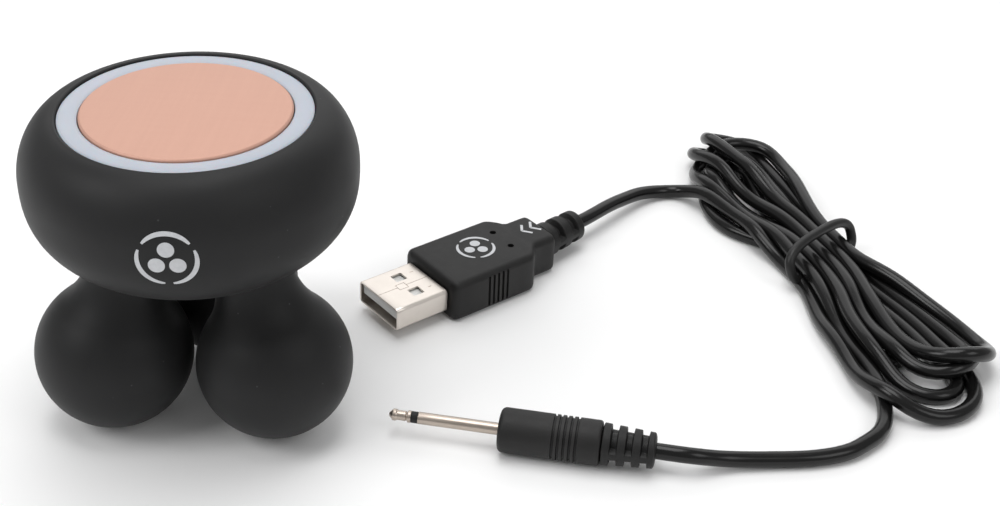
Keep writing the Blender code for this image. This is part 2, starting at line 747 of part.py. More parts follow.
def make_weight(name, place):
    """Half-round eccentric weight with a hub round the motor shaft."""
    outline = arc((0.0, 0.0), WEIGHT_RADIUS, 0.0, 180.0, 14)
    outline += arc((0.0, 0.0), WEIGHT_HUB_RADIUS, 180.0, 360.0, 8)
    builder = bmesh.new()
    ring = [builder.verts.new((x, y, WEIGHT_BOTTOM)) for x, y in outline]
    face = builder.faces.new(ring)
    grown = bmesh.ops.extrude_face_region(builder, geom=[face])
    moved = [item for item in grown["geom"] if isinstance(item, bmesh.types.BMVert)]
    bmesh.ops.translate(builder, vec=(0.0, 0.0, WEIGHT_TOP - WEIGHT_BOTTOM), verts=moved)
    bmesh.ops.recalc_face_normals(builder, faces=builder.faces)
    mesh = bpy.data.meshes.new(f"eccentric_weight_{name}")
    builder.to_mesh(mesh)
    builder.free()
    weight = add_object(f"eccentric_weight_{name}", mesh, place, "weight_brass")
    low = WEIGHT_BOTTOM - 1 * MM
    high = WEIGHT_TOP + 1 * MM
    hole = cylinder(f"weight_bore_{name}", WEIGHT_BORE_RADIUS, low, high, 12, None, place)
    cut(weight, as_cutter(hole))


# ---------------------------------------------------------------- charging lead


def usb_place():
    """Matrix of the USB plug: origin below its tip on the table, local X towards the cable."""
    spot = Matrix.Translation((USB_TIP[0], USB_TIP[1], 0.0))
    return spot @ Matrix.Rotation(USB_YAW, 4, "Z")


def usb_relief_place():
    """Matrix of the USB plug's strain relief, which the cable bends sideways at its root."""
    root = usb_place() @ Matrix.Translation((USB_BODY_END + GAP, 0.0, USB_AXIS_Z))
    return root @ Matrix.Rotation(USB_RELIEF_TURN, 4, "Z")


def jack_place():
    """Matrix of the pin plug: origin at its tip, local X towards the cable."""
    spot = Matrix.Translation((JACK_TIP[0], JACK_TIP[1], JACK_BODY_RADIUS))
    return spot @ Matrix.Rotation(JACK_YAW, 4, "Z")


ALONG_X = Matrix.Rotation(math.pi / 2, 4, "Y")


def relief_outline(start, end, radii, rings):
    """Outline of a ringed strain relief that tapers towards its end."""
    pitch = (end - start) / (rings - 0.4)
    bore = CABLE_DIAMETER / 2
    points = []
    for i in range(rings):
        low = start + i * pitch
        high = min(low + 0.6 * pitch, end)
        share = (low - start) / (end - start)
        radius = radii[0] + (radii[1] - radii[0]) * share
        if i:
            points.append((radius - 0.8 * MM, low))
        points += [(radius, low), (radius, high)]
        if i < rings - 1:
            points.append((radius - 0.8 * MM, high))
    assert min(r for r, _ in points) > bore
    return [(0.0, start)] + points + [(0.0, end)]


def make_usb_plug():
    """USB-A plug: metal shell with two windows, white tongue, moulded body and strain relief."""
    place = usb_place()
    length, width, height = USB_SHELL_SIZE
    wall = USB_SHELL_WALL
    middle = (length / 2, 0.0, USB_AXIS_Z)
    shell = block("usb_shell", USB_SHELL_SIZE, middle, "nickel", place)
    hollow_size = (length, width - 2 * wall, height - 2 * wall)
    hollow_middle = (length / 2 - wall, 0.0, USB_AXIS_Z)
    cut(shell, as_cutter(block("shell_hollow", hollow_size, hollow_middle, None, place)))
    window_size = (USB_WINDOW_SIZE, USB_WINDOW_SIZE, height)
    for side in (-1, 1):
        centre = (USB_WINDOW_X, side * USB_WINDOW_Y, USB_AXIS_Z + height / 2)
        cut(shell, as_cutter(block(f"shell_window_{side + 2}", window_size, centre, None, place)))

    tongue_length, _, tongue_height = USB_TONGUE_SIZE
    back = length - wall - GAP
    top = USB_AXIS_Z + height / 2 - wall - GAP
    tongue_centre = (back - tongue_length / 2, 0.0, top - tongue_height / 2)
    block("usb_tongue", USB_TONGUE_SIZE, tongue_centre, "white_plastic", place)

    make_usb_body(place)
    length = USB_RELIEF_END - USB_BODY_END - GAP
    outline = relief_outline(GAP, length, USB_RELIEF_RADII, USB_RELIEF_RINGS)
    turned("usb_strain_relief", outline, 16, "black_plug", usb_relief_place() @ ALONG_X)


def make_usb_body(place):
    """Moulded grip of the USB plug, stepped in behind its shoulders."""
    wide = USB_BODY_HALF_WIDTH
    narrow = USB_BODY_REAR_HALF_WIDTH
    corners = [
        (USB_BODY_START, -wide),
        (USB_BODY_SHOULDER, -wide),
        (USB_BODY_STEP, -narrow),
        (USB_BODY_END, -narrow),
        (USB_BODY_END, narrow),
        (USB_BODY_STEP, narrow),
        (USB_BODY_SHOULDER, wide),
        (USB_BODY_START, wide),
    ]
    builder = bmesh.new()
    ring = [builder.verts.new((x, y, 0.0)) for x, y in corners]
    face = builder.faces.new(ring)
    grown = bmesh.ops.extrude_face_region(builder, geom=[face])
    moved = [item for item in grown["geom"] if isinstance(item, bmesh.types.BMVert)]
    bmesh.ops.translate(builder, vec=(0.0, 0.0, USB_BODY_HEIGHT), verts=moved)
    bmesh.ops.recalc_face_normals(builder, faces=builder.faces)
    mesh = bpy.data.meshes.new("usb_overmould")
    builder.to_mesh(mesh)
    builder.free()
    body = add_object("usb_overmould", mesh, place, "black_plug")
    add_bevel(body, USB_BODY_EDGE)


def make_pin_plug():
    """Pin plug: pointed contact, insulating band, long barrel, round body and strain relief."""
    place = jack_place() @ ALONG_X
    pin = JACK_PIN_RADIUS
    point = [
        (0.0, 0.0),
        (0.55 * pin, 0.15 * MM),
        (0.95 * pin, 1.1 * MM),
        (0.95 * pin, 1.5 * MM),
        (0.6 * pin, 2.1 * MM),
        (0.6 * pin, 2.4 * MM),
        (pin, 2.6 * MM),
        (pin, JACK_POINT_LENGTH),
        (0.0, JACK_POINT_LENGTH),
    ]
    turned("jack_tip", point, 16, "nickel", place)
    cylinder("jack_insulator", pin, JACK_POINT_LENGTH + GAP, JACK_INSULATOR_END, 16, "black_plug", place)
    cylinder(
        "jack_barrel", pin, JACK_INSULATOR_END + GAP, JACK_PIN_LENGTH - GAP, 16, "nickel", place
    )
    edge = 0.4 * MM
    body = [
        (0.0, JACK_PIN_LENGTH),
        (JACK_BODY_RADIUS - edge, JACK_PIN_LENGTH),
        (JACK_BODY_RADIUS, JACK_PIN_LENGTH + edge),
        (JACK_BODY_RADIUS, JACK_BODY_END),
        (0.0, JACK_BODY_END),
    ]
    turned("jack_overmould", body, 24, "black_plug", place)
    outline = relief_outline(JACK_BODY_END + GAP, JACK_RELIEF_END, JACK_RELIEF_RADII, JACK_RELIEF_RINGS)
    turned("jack_strain_relief", outline, 16, "black_plug", place)


def smooth_route(points, per_span=4):
    """Points on one smooth curve that passes through every given point."""
    ends = [2 * points[0] - points[1]] + points + [2 * points[-1] - points[-2]]
    route = []
    for p0, p1, p2, p3 in zip(ends, ends[1:], ends[2:], ends[3:]):
        for i in range(per_span):
            t = i / per_span
            bend = 2 * p0 - 5 * p1 + 4 * p2 - p3
            twist = 3 * p1 - p0 - 3 * p2 + p3
            route.append(0.5 * (2 * p1 + (p2 - p0) * t + bend * t**2 + twist * t**3))
    route.append(points[-1])
    return route


def cable_tube(name, points):
    """A free stretch of cable along one smooth curve."""
    route = smooth_route(points, 3)
    curve = bpy.data.curves.new(name, "CURVE")
    curve.dimensions = "3D"
    curve.bevel_depth = CABLE_DIAMETER / 2
    curve.bevel_resolution = 2
    curve.use_fill_caps = True
    spline = curve.splines.new("POLY")
    spline.points.add(len(route) - 1)
    for knot, spot in zip(spline.points, route):
        knot.co = (spot.x, spot.y, spot.z, 1.0)
    add_object(name, curve, Matrix.Identity(4), "black_cable")


def make_cable():
    """The cable's two free stretches."""
    relief_length = USB_RELIEF_END - USB_BODY_END - GAP
    usb_exit = usb_relief_place() @ Vector((relief_length + GAP, 0.0, 0.0))
    usb_straight = usb_relief_place() @ Vector((relief_length + 1.5 * CABLE_DIAMETER, 0.0, 0.0))
    run = [usb_exit, usb_straight] + [Vector(spot) * MM for spot in USB_RUN]
    cable_tube("cable_usb_run", run)
    jack_exit = jack_place() @ Vector((JACK_RELIEF_END + GAP, 0.0, 0.0))
    jack_straight = jack_place() @ Vector((JACK_RELIEF_END + 2 * CABLE_DIAMETER, 0.0, 0.0))
    run = [Vector(spot) * MM for spot in JACK_RUN] + [jack_straight, jack_exit]
    cable_tube("cable_jack_run", run)


def hank_place():
    """Matrix of the hank: origin below its tie, local X along its runs."""
    spot = Matrix.Translation((HANK_CENTRE[0], HANK_CENTRE[1], 0.0))
    return spot @ Matrix.Rotation(HANK_YAW, 4, "Z")


def make_hank():
    """Outer shape of the wound cable: a flat bundle with round ends, waisted at its tie."""
    builder = bmesh.new()
    sections = []
    for along_mm, near_mm, far_mm in HANK_OUTLINE:
        along = along_mm * MM
        near = near_mm * MM
        far = far_mm * MM
        waist = abs(along) <= HANK_WAIST_HALF_LENGTH
        low = HANK_WAIST_BOTTOM if waist else 0.0
        high = HANK_WAIST_TOP if waist else HANK_HEIGHT
        chamfer = min(HANK_CHAMFER, (far - near) / 3)
        section = [
            (near + chamfer, low),
            (far - chamfer, low),
            (far, low + chamfer),
            (far, high - chamfer),
            (far - chamfer, high),
            (near + chamfer, high),
            (near, high - chamfer),
            (near, low + chamfer),
        ]
        sections.append([builder.verts.new((along, across, height)) for across, height in section])
    for here, there in zip(sections, sections[1:]):
        for i in range(len(here)):
            j = (i + 1) % len(here)
            builder.faces.new((here[i], here[j], there[j], there[i]))
    builder.faces.new(sections[0])
    builder.faces.new(sections[-1])
    bmesh.ops.recalc_face_normals(builder, faces=builder.faces)
    mesh = bpy.data.meshes.new("cable_hank")
    builder.to_mesh(mesh)
    builder.free()
    add_object("cable_hank", mesh, hank_place(), "black_cable")


def make_tie():
    """Round rubber ring round the hank's waist."""
    height = TIE_WIRE_RADIUS + TIE_HALF_HEIGHT
    flat = TIE_HALF_WIDTH - TIE_HALF_HEIGHT
    path = []
    for side, start in ((1, -90.0), (-1, 90.0)):
        for i in range(9):
            angle = math.radians(start + 180.0 * i / 8)
            across = side * flat + TIE_HALF_HEIGHT * math.cos(angle)
            path.append((0.0, across, height + TIE_HALF_HEIGHT * math.sin(angle)))
    curve = bpy.data.curves.new("cable_tie", "CURVE")
    curve.dimensions = "3D"
    curve.bevel_depth = TIE_WIRE_RADIUS
    curve.bevel_resolution = 2
    spline = curve.splines.new("POLY")
    spline.points.add(len(path) - 1)
    for knot, spot in zip(spline.points, path):
        knot.co = (*spot, 1.0)
    spline.use_cyclic_u = True
    add_object("cable_tie", curve, hank_place() @ Matrix.Rotation(TIE_YAW, 4, "Z"), "black_cable")


HEAD_PLACE = Matrix.Translation((0.0, -(BALL_CIRCLE + BALL_RADIUS - HEAD_RADIUS) / 2, 0.0))


def main():
    """Build the massager and its lead."""
    clear_scene()
    make_head_sleeve()
    make_top()
    make_top_housing()
    make_bottom_housing()
    make_screws()
    make_electronics()
    make_power_button()
    for name in LEG_AZIMUTHS:
        make_leg(name)
    make_usb_plug()
    make_pin_plug()
    make_cable()
    make_hank()
    make_tie()


main()
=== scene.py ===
"""Looks of the three-ball massager and its charging lead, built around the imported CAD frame.

Each section makes one part of the object: smooth meshes that stand for the faceted CAD nodes,
the printed marks, the wound cable, and the procedural materials. Sizes in the sections are in
millimetres and are turned into metres where the meshes are made.
"""

import math

import bmesh
import bpy
import numpy as np
from mathutils import Matrix, Vector


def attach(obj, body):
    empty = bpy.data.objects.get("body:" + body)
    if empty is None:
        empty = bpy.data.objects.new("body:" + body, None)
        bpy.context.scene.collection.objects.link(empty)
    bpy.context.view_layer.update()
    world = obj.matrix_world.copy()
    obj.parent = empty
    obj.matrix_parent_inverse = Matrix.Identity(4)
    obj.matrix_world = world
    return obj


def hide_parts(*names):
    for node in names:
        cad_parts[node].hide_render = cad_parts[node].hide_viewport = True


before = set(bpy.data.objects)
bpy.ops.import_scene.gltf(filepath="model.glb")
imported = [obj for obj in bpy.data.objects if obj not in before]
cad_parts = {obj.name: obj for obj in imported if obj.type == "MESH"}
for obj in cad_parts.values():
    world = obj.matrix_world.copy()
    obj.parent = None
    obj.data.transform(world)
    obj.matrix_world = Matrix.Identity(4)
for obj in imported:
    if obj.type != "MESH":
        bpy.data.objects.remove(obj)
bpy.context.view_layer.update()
MM = 0.001

# ---------------------------------------------------------------- camera
# The view looks down 32.5 degrees from the front, from above the middle of the group.

CAMERA_PLACE = Vector((0.05734, -0.20567, 0.16148))
CAMERA_PITCH = 0.56697
CAMERA_ROLL = -0.0393
CAMERA_TURN = 0.04426
CAMERA_LENS = 55.416


def to_metres(matrix):
    """A placing matrix whose moves are in millimetres, turned into one in metres."""
    placed = matrix.copy()
    placed.translation = placed.translation * MM
    return placed


def new_object(name, data, place=Matrix.Identity(4)):
    """A new object in the scene, placed in millimetres."""
    made = bpy.data.objects.new(name, data)
    made.matrix_world = to_metres(place)
    bpy.context.scene.collection.objects.link(made)
    return made


def make_camera():
    """The photograph's view."""
    data = bpy.data.cameras.new("camera")
    data.lens = CAMERA_LENS
    data.sensor_width = 36.0
    data.clip_start = 0.01
    camera = new_object("camera", data)
    turn = Matrix.Rotation(CAMERA_TURN, 4, "Z")
    tilt = Matrix.Rotation(math.pi / 2 - CAMERA_PITCH, 4, "X")
    roll = Matrix.Rotation(-CAMERA_ROLL, 4, "Z")
    camera.matrix_world = Matrix.Translation(CAMERA_PLACE) @ turn @ tilt @ roll
    bpy.context.scene.camera = camera


# ---------------------------------------------------------------- sizes
# They are the CAD's, apart from the ends of the pin's point and band, the cable's way to
# the hank, and the tie's lean and shift. Those follow the photo more closely.

HEAD_RADIUS = 26.0
HEAD_WIDEST_Z = 43.9
HEAD_BOTTOM_Z = 27.35
LIP_RADIUS = 19.4
LIP_Z = 53.2
LOWER_POWER_RADIAL = 2.1
LOWER_POWER_HEIGHT = 2.75
UPPER_POWER = 1.9
UPPER_SHARE = 0.3
LIP_ROLL = 0.35
SKIN = 1.6
GAP = 0.3
SPLIT_Z = 45.6
PLATE_RADIUS = 16.1
PLATE_TOP_Z = 53.3
PLATE_THICKNESS = 1.0
PLATE_CHAMFER = 0.28
RING_TOP_Z = 53.1
RING_BOTTOM_Z = 50.6
RING_CROWN = 0.45
RING_GAP = 0.12
BALL_RADIUS = 12.56
BALL_CIRCLE = 15.04
LEG_AZIMUTHS = {"left": 210.0, "right": 330.0, "back": 90.0}
LEG_LEAN = math.radians(12.5)
NECK_RADIUS = 6.3
NECK_FILLET = 11.0
NECK_TO_HEAD = 16.26
SPIGOT_RADIUS = 4.0
CHARGE_HOLE_RADIUS = 1.5
BUTTON_Z = 40.5
BUTTON_HALF_WIDTH = 5.2
BUTTON_HALF_HEIGHT = 3.9
BUTTON_FLANGE = 0.7
BUTTON_STEM_RADIUS = 1.2
BUTTON_STEM_Z = 40.15
HEAD_PLACE = Matrix.Translation((0.0, -(BALL_CIRCLE + BALL_RADIUS - HEAD_RADIUS) / 2, 0.0))
HEAD_MARK_Z = 42.6
HEAD_MARK_AZIMUTH = math.radians(-84.5)
HEAD_MARK_RADIUS = 4.85

USB_TIP = (25.76, 21.11)
USB_YAW = math.radians(41.8)
USB_AXIS_Z = 4.05
USB_SHELL_SIZE = (11.0, 12.0, 4.5)
USB_SHELL_WALL = 0.35
USB_SHELL_CORNER = 0.75
USB_SEAM_WIDTH = 0.1
USB_SEAM_DEPTH = 0.24
USB_WINDOW_SIZE = 2.3
USB_WINDOW_X = 6.4
USB_WINDOW_Y = 2.7
USB_TONGUE_SIZE = (10.0, 10.4, 1.8)
USB_CONTACT_SIZE = (7.2, 1.0, 0.12)
USB_CONTACT_PITCH = 2.25
USB_BODY_START = 11.3
USB_BODY_SHOULDER = 29.7
USB_BODY_STEP = 32.3
USB_BODY_END = 37.6
USB_BODY_HALF_WIDTH = 7.9
USB_BODY_REAR_HALF_WIDTH = 4.9
USB_BODY_HEIGHT = 8.1
USB_BODY_EDGE = 1.35
USB_BODY_REAR_EDGE = 1.0
USB_BODY_REAR_DROP = 0.12
USB_GROOVES = 5
USB_FIRST_GROOVE_X = 19.25
USB_GROOVE_PITCH = 1.05
USB_GROOVE_WIDTH = 0.52
USB_DIMPLES = ((28.2, 2.9), (28.1, -2.7))
USB_DIMPLE_RADIUS = 0.62
USB_DIMPLE_DEPTH = 0.7
USB_MARK_PLACE = (22.3, 0.5)
USB_MARK_RADIUS = 3.9
USB_CHEVRONS_PLACE = (33.2, 0.3)
PRINT_THICKNESS = 0.03
PRINT_GAP = 0.01
USB_RELIEF_END = 47.5
USB_RELIEF_TURN = math.radians(7.0)
JACK_TIP = (31.53, -8.97)
JACK_YAW = math.radians(-6.4)
JACK_AXIS_Z = 3.7
JACK_PIN_RADIUS = 1.0
JACK_PIN_LENGTH = 18.35
JACK_POINT_LENGTH = 3.6
JACK_INSULATOR_END = 4.9
JACK_BODY_RADIUS = 3.7
JACK_BODY_END = 34.95
JACK_RELIEF_END = 43.8
JACK_GROOVES_X = (27.3, 28.2, 29.15, 30.1, 31.05)
CABLE_DIAMETER = 2.7
CABLE_IN_RELIEF = 1.0
HANK_CENTRE = (107.9, 49.7)
HANK_YAW = math.atan2(-0.902, 0.431)
TIE_WIRE_RADIUS = 0.95
TIE_HALF_WIDTH = 9.9
TIE_HALF_HEIGHT = 3.5
TIE_YAW = math.radians(22.7)
TIE_LEAN = 0.42
TIE_SHIFT = (0.8, -0.7)
TIE_SQUARENESS = 0.72
FLOOR_DROP = 0.05


# ---------------------------------------------------------------- node helpers


class Nodes:
    """A short way to write one material's node tree."""

    def __init__(self, name):
        self.material = bpy.data.materials.new(name)
        self.material.use_nodes = True
        self.tree = self.material.node_tree
        self.shader = self.tree.nodes["Principled BSDF"]
        self.place = self.add("ShaderNodeTexCoord").outputs["Object"]

    def add(self, kind, **settings):
        node = self.tree.nodes.new(kind)
        for key, value in settings.items():
            setattr(node, key, value)
        return node

    def join(self, source, target):
        self.tree.links.new(source, target)

    def set(self, **values):
        """Set constants on the shader's own sockets; an underscore stands for a space."""
        for key, value in values.items():
            self.shader.inputs[key.replace("_", " ")].default_value = value

    def noise(self, scale, detail=3.0, roughness=0.5, stretch=None):
        """Noise whose scale is in features per metre, stretched along axes where asked."""
        where = self.place
        if stretch:
            mapping = self.add("ShaderNodeMapping")
            mapping.inputs["Scale"].default_value = stretch
            self.join(self.place, mapping.inputs["Vector"])
            where = mapping.outputs["Vector"]
        node = self.add("ShaderNodeTexNoise")
        node.inputs["Scale"].default_value = scale
        node.inputs["Detail"].default_value = detail
        node.inputs["Roughness"].default_value = roughness
        self.join(where, node.inputs["Vector"])
        return node.outputs["Fac"]

    def ramp(self, source, low, high, from_low=0.0, from_high=1.0):
        """Map a value from one range to another."""
        node = self.add("ShaderNodeMapRange")
        node.inputs["From Min"].default_value = from_low
        node.inputs["From Max"].default_value = from_high
        node.inputs["To Min"].default_value = low
        node.inputs["To Max"].default_value = high
        self.join(source, node.inputs["Value"])
        return node.outputs["Result"]

    def mix(self, factor, first, second):
        """Mix two colours, each a constant or a socket."""
        node = self.add("ShaderNodeMix", data_type="RGBA")
        self.join(factor, node.inputs["Factor"])
        for value, socket in ((first, node.inputs[6]), (second, node.inputs[7])):
            if isinstance(value, tuple):
                socket.default_value = (*value, 1.0)
            else:
                self.join(value, socket)
        return node.outputs[2]

    def colour(self, socket):
        self.join(socket, self.shader.inputs["Base Color"])

    def rough(self, socket):
        self.join(socket, self.shader.inputs["Roughness"])

    def bump(self, height, distance, strength=1.0, before=None):
        """Add a bump, in metres, onto the shader's normal."""
        node = self.add("ShaderNodeBump")
        node.inputs["Strength"].default_value = strength
        node.inputs["Distance"].default_value = distance
        self.join(height, node.inputs["Height"])
        if before:
            self.join(before, node.inputs["Normal"])
        self.join(node.outputs["Normal"], self.shader.inputs["Normal"])
        return node.outputs["Normal"]

    def tone(self, scale, dark, light, detail=3.0):
        """Clouds of two tones as the base colour."""
        self.colour(self.mix(self.noise(scale, detail), dark, light))

    def gloss(self, scale, low, high, detail=3.0):
        """Clouds of roughness between two values."""
        self.rough(self.ramp(self.noise(scale, detail), low, high))

    def grain(self, scale, distance, strength, detail=2.0, before=None):
        """A fine grained bump."""
        return self.bump(self.noise(scale, detail), distance, strength, before)

    def specks(self, scale, size):
        """1 inside small round specks at random places, 0 elsewhere."""
        node = self.add("ShaderNodeTexVoronoi")
        node.inputs["Scale"].default_value = scale
        node.inputs["Randomness"].default_value = 1.0
        self.join(self.place, node.inputs["Vector"])
        return self.ramp(node.outputs["Distance"], 1.0, 0.0, size * 0.6, size)


def silicone():
    """Matte black silicone: powdery sheen, slow cloudy tone, fine grain and a little lint."""
    n = Nodes("black_silicone_skin")
    cloud = n.noise(60.0, 4.0)
    tone = n.mix(cloud, (0.0125, 0.0125, 0.0129), (0.0175, 0.0175, 0.0179))
    lint = n.specks(260.0, 0.045)
    n.colour(n.mix(lint, tone, (0.045, 0.045, 0.047)))
    n.gloss(140.0, 0.46, 0.58)
    n.set(Specular_IOR_Level=0.22, Sheen_Weight=0.012, Sheen_Roughness=0.45)
    fine = n.grain(9000.0, 0.000012, 0.5)
    n.grain(700.0, 0.00002, 0.3, before=fine)
    return n.material


def rose_plate():
    """Salmon satin metal: fine blasted grain with faint cross-hatched tone."""
    n = Nodes("rose_gold_satin")
    across = n.noise(900.0, 2.0, 0.5, (1.0, 0.06, 1.0))
    along = n.noise(900.0, 2.0, 0.5, (0.06, 1.0, 1.0))
    tone = n.mix(across, (0.545, 0.312, 0.240), (0.585, 0.338, 0.260))
    n.colour(n.mix(n.ramp(along, 0.0, 0.25), tone, (0.61, 0.37, 0.285)))
    n.gloss(5000.0, 0.50, 0.60, 2.0)
    n.set(Metallic=0.35, Specular_IOR_Level=0.4)
    n.grain(12000.0, 0.000008, 0.5)
    return n.material


def milky_ring():
    """Translucent bluish-white diffuser, smooth and a little cloudy inside."""
    n = Nodes("milky_diffuser")
    n.tone(220.0, (0.38, 0.41, 0.465), (0.43, 0.46, 0.52))
    n.gloss(1500.0, 0.36, 0.44)
    n.set(Subsurface_Weight=0.25, Subsurface_Scale=0.0015, Specular_IOR_Level=0.45)
    n.grain(2500.0, 0.000006, 0.4)
    return n.material


def nickel(name, dark, light):
    """Warm nickel plate with light drawing lines and faint smudges."""
    n = Nodes(name)
    n.colour(n.mix(n.noise(420.0, 5.0, 0.6), dark, light))
    streaks = n.noise(3800.0, 3.0, 0.6, (1.0, 0.05, 1.0))
    n.rough(n.ramp(streaks, 0.24, 0.40))
    n.set(Metallic=1.0)
    n.bump(streaks, 0.000004, 0.5)
    return n.material


def tongue_plastic():
    """White moulded plastic, slightly warm, with a soft grain."""
    n = Nodes("white_moulded_plastic")
    n.tone(300.0, (0.70, 0.70, 0.68), (0.80, 0.80, 0.78))
    n.gloss(900.0, 0.38, 0.50)
    n.grain(5000.0, 0.000006, 0.5)
    return n.material


def print_ink():
    """Pale screen-printed ink with a grainy, slightly worn surface."""
    n = Nodes("pale_print_ink")
    n.tone(1800.0, (0.50, 0.51, 0.53), (0.64, 0.65, 0.67), 4.0)
    n.gloss(2600.0, 0.45, 0.6)
    n.grain(6000.0, 0.000006, 0.5)
    return n.material


def plug_plastic():
    """Black moulded PVC of the plugs: spark-eroded grain, and a painted highlight that makes sharp convex
    edges paler.
    """
    n = Nodes("black_moulded_pvc")
    tone = n.mix(n.noise(240.0, 4.0), (0.0085, 0.0083, 0.0083), (0.0135, 0.0132, 0.0130))
    # Painted highlight: the colour turns paler where the surface is sharply convex, along the edges.
    painted_edge_highlight = n.add("ShaderNodeNewGeometry").outputs["Pointiness"]
    n.colour(n.mix(n.ramp(painted_edge_highlight, 0.0, 0.5, 0.52, 0.66), tone, (0.055, 0.053, 0.052)))
    n.gloss(700.0, 0.44, 0.56)
    n.set(Specular_IOR_Level=0.3)
    n.bump(n.noise(5200.0, 3.0, 0.6), 0.00005, 0.75)
    return n.material


def cable_jacket():
    """Glossier black PVC cable jacket with faint drawing ripples."""
    n = Nodes("black_cable_jacket")
    n.tone(160.0, (0.0040, 0.0040, 0.0042), (0.0070, 0.0067, 0.0065))
    n.gloss(500.0, 0.17, 0.27)
    n.set(Specular_IOR_Level=0.34)
    n.grain(1200.0, 0.00002, 0.3, 3.0)
    return n.material


def tie_rubber():
    """Black rubber of the tie ring, duller than the cable."""
    n = Nodes("black_tie_rubber")
    n.tone(300.0, (0.010, 0.010, 0.0102), (0.017, 0.0168, 0.0165))
    n.gloss(800.0, 0.34, 0.46)
    n.set(Specular_IOR_Level=0.34)
    n.grain(4000.0, 0.00001, 0.5)
    return n.material


def housing_plastic():
    """Dark grey ABS of the inner shells, with a fine moulded grain."""
    n = Nodes("grey_housing_abs")
    n.tone(200.0, (0.10, 0.10, 0.11), (0.14, 0.14, 0.15))
    n.gloss(1200.0, 0.42, 0.56)
    n.grain(5000.0, 0.00002, 0.5, 3.0)
    return n.material


def circuit_board():
    """Green solder mask over copper tracks, which show as a paler maze."""
    n = Nodes("green_circuit_board")
    cells = n.add("ShaderNodeTexBrick", offset=0.5, squash=1.0)
    cells.inputs["Scale"].default_value = 320.0
    cells.inputs["Mortar Size"].default_value = 0.06
    cells.inputs["Color1"].default_value = (0.012, 0.085, 0.032, 1.0)
    cells.inputs["Color2"].default_value = (0.016, 0.110, 0.042, 1.0)
    cells.inputs["Mortar"].default_value = (0.045, 0.200, 0.085, 1.0)
    n.join(n.place, cells.inputs["Vector"])
    n.colour(cells.outputs["Color"])
    n.gloss(900.0, 0.30, 0.42)
    n.bump(cells.outputs["Fac"], 0.00002, 0.6)
    return n.material


def led_lens():
    """Clear-white lamp body with a yellowish phosphor tone in its middle."""
    n = Nodes("white_led_body")
    n.tone(1500.0, (0.80, 0.80, 0.74), (0.86, 0.82, 0.60))
    n.gloss(3000.0, 0.25, 0.4)
    n.set(Subsurface_Weight=0.1, Subsurface_Scale=0.0005)
    return n.material


def battery_foil():
    """Crinkled aluminium pouch foil."""
    n = Nodes("battery_pouch_foil")
    n.tone(500.0, (0.52, 0.53, 0.55), (0.66, 0.67, 0.69))
    n.gloss(900.0, 0.26, 0.42, 4.0)
    n.set(Metallic=0.8)
    n.bump(n.noise(700.0, 5.0, 0.6), 0.00012, 0.6)
    return n.material


def drawn_metal(name, dark, light, scale):
    """Turned or drawn bare metal with fine tool lines round its axis."""
    n = Nodes(name)
    lines = n.noise(scale, 3.0, 0.5, (0.05, 0.05, 1.0))
    n.colour(n.mix(lines, dark, light))
    n.rough(n.ramp(lines, 0.22, 0.38))
    n.set(Metallic=1.0)
    n.bump(lines, 0.000006, 0.5)
    return n.material


def floor_paper():
    """Plain pale sweep."""
    n = Nodes("floor_sweep")
    n.tone(6.0, (0.93, 0.93, 0.93), (0.95, 0.95, 0.95))
    n.gloss(40.0, 0.85, 0.95)
    n.set(Specular_IOR_Level=0.1)
    return n.material


# ---------------------------------------------------------------- mesh helpers


def add_piece(name, mesh, place, finish, body, slot, *nodes):
    """Link a mesh as a piece on a body, standing for CAD nodes."""
    mesh.materials.append(finish)
    made = new_object(name, mesh, place)
    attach(made, body)
    if nodes:
        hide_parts(*nodes)
    return made


def lead_piece(name, mesh, place, finish, slot, *nodes):
    """A piece of the charging lead."""
    add_piece(name, mesh, place, finish, "charging_lead", slot, *nodes)


def mesh_from(name, builder, angle=40.0):
    """Turn a bmesh in millimetres into a mesh in metres, smooth apart from sharp edges."""
    bmesh.ops.scale(builder, vec=(MM, MM, MM), verts=builder.verts)
    bmesh.ops.recalc_face_normals(builder, faces=builder.faces)
    mesh = bpy.data.meshes.new(name)
    builder.to_mesh(mesh)
    builder.free()
    mesh.shade_smooth()
    mesh.set_sharp_from_angle(angle=math.radians(angle))
    return mesh


def join_rings(builder, rings):
    """Faces between each ring of vertices and the next, and a cap on each end."""
    count = len(rings[0])
    for here, there in zip(rings, rings[1:]):
        for i in range(count):
            j = (i + 1) % count
            builder.faces.new((here[i], here[j], there[j], there[i]))
    builder.faces.new(rings[0])
    builder.faces.new(rings[-1])


def softened(outline, radius, steps=4):
    """Round the corners of an open outline of (radius, height) points."""
    points = [outline[0]]
    for before, here, after in zip(outline, outline[1:], outline[2:]):
        a = Vector(before) - Vector(here)
        b = Vector(after) - Vector(here)
        reach = min(radius, a.length * 0.45, b.length * 0.45)
        if reach < 0.01 or a.angle(b) > math.radians(165):
            points.append(here)
            continue
        start = Vector(here) + a.normalized() * reach
        end = Vector(here) + b.normalized() * reach
        for i in range(steps + 1):
            t = i / steps
            spot = start * (1 - t) ** 2 + Vector(here) * 2 * t * (1 - t) + end * t**2
            points.append(tuple(spot))
    points.append(outline[-1])
    return points


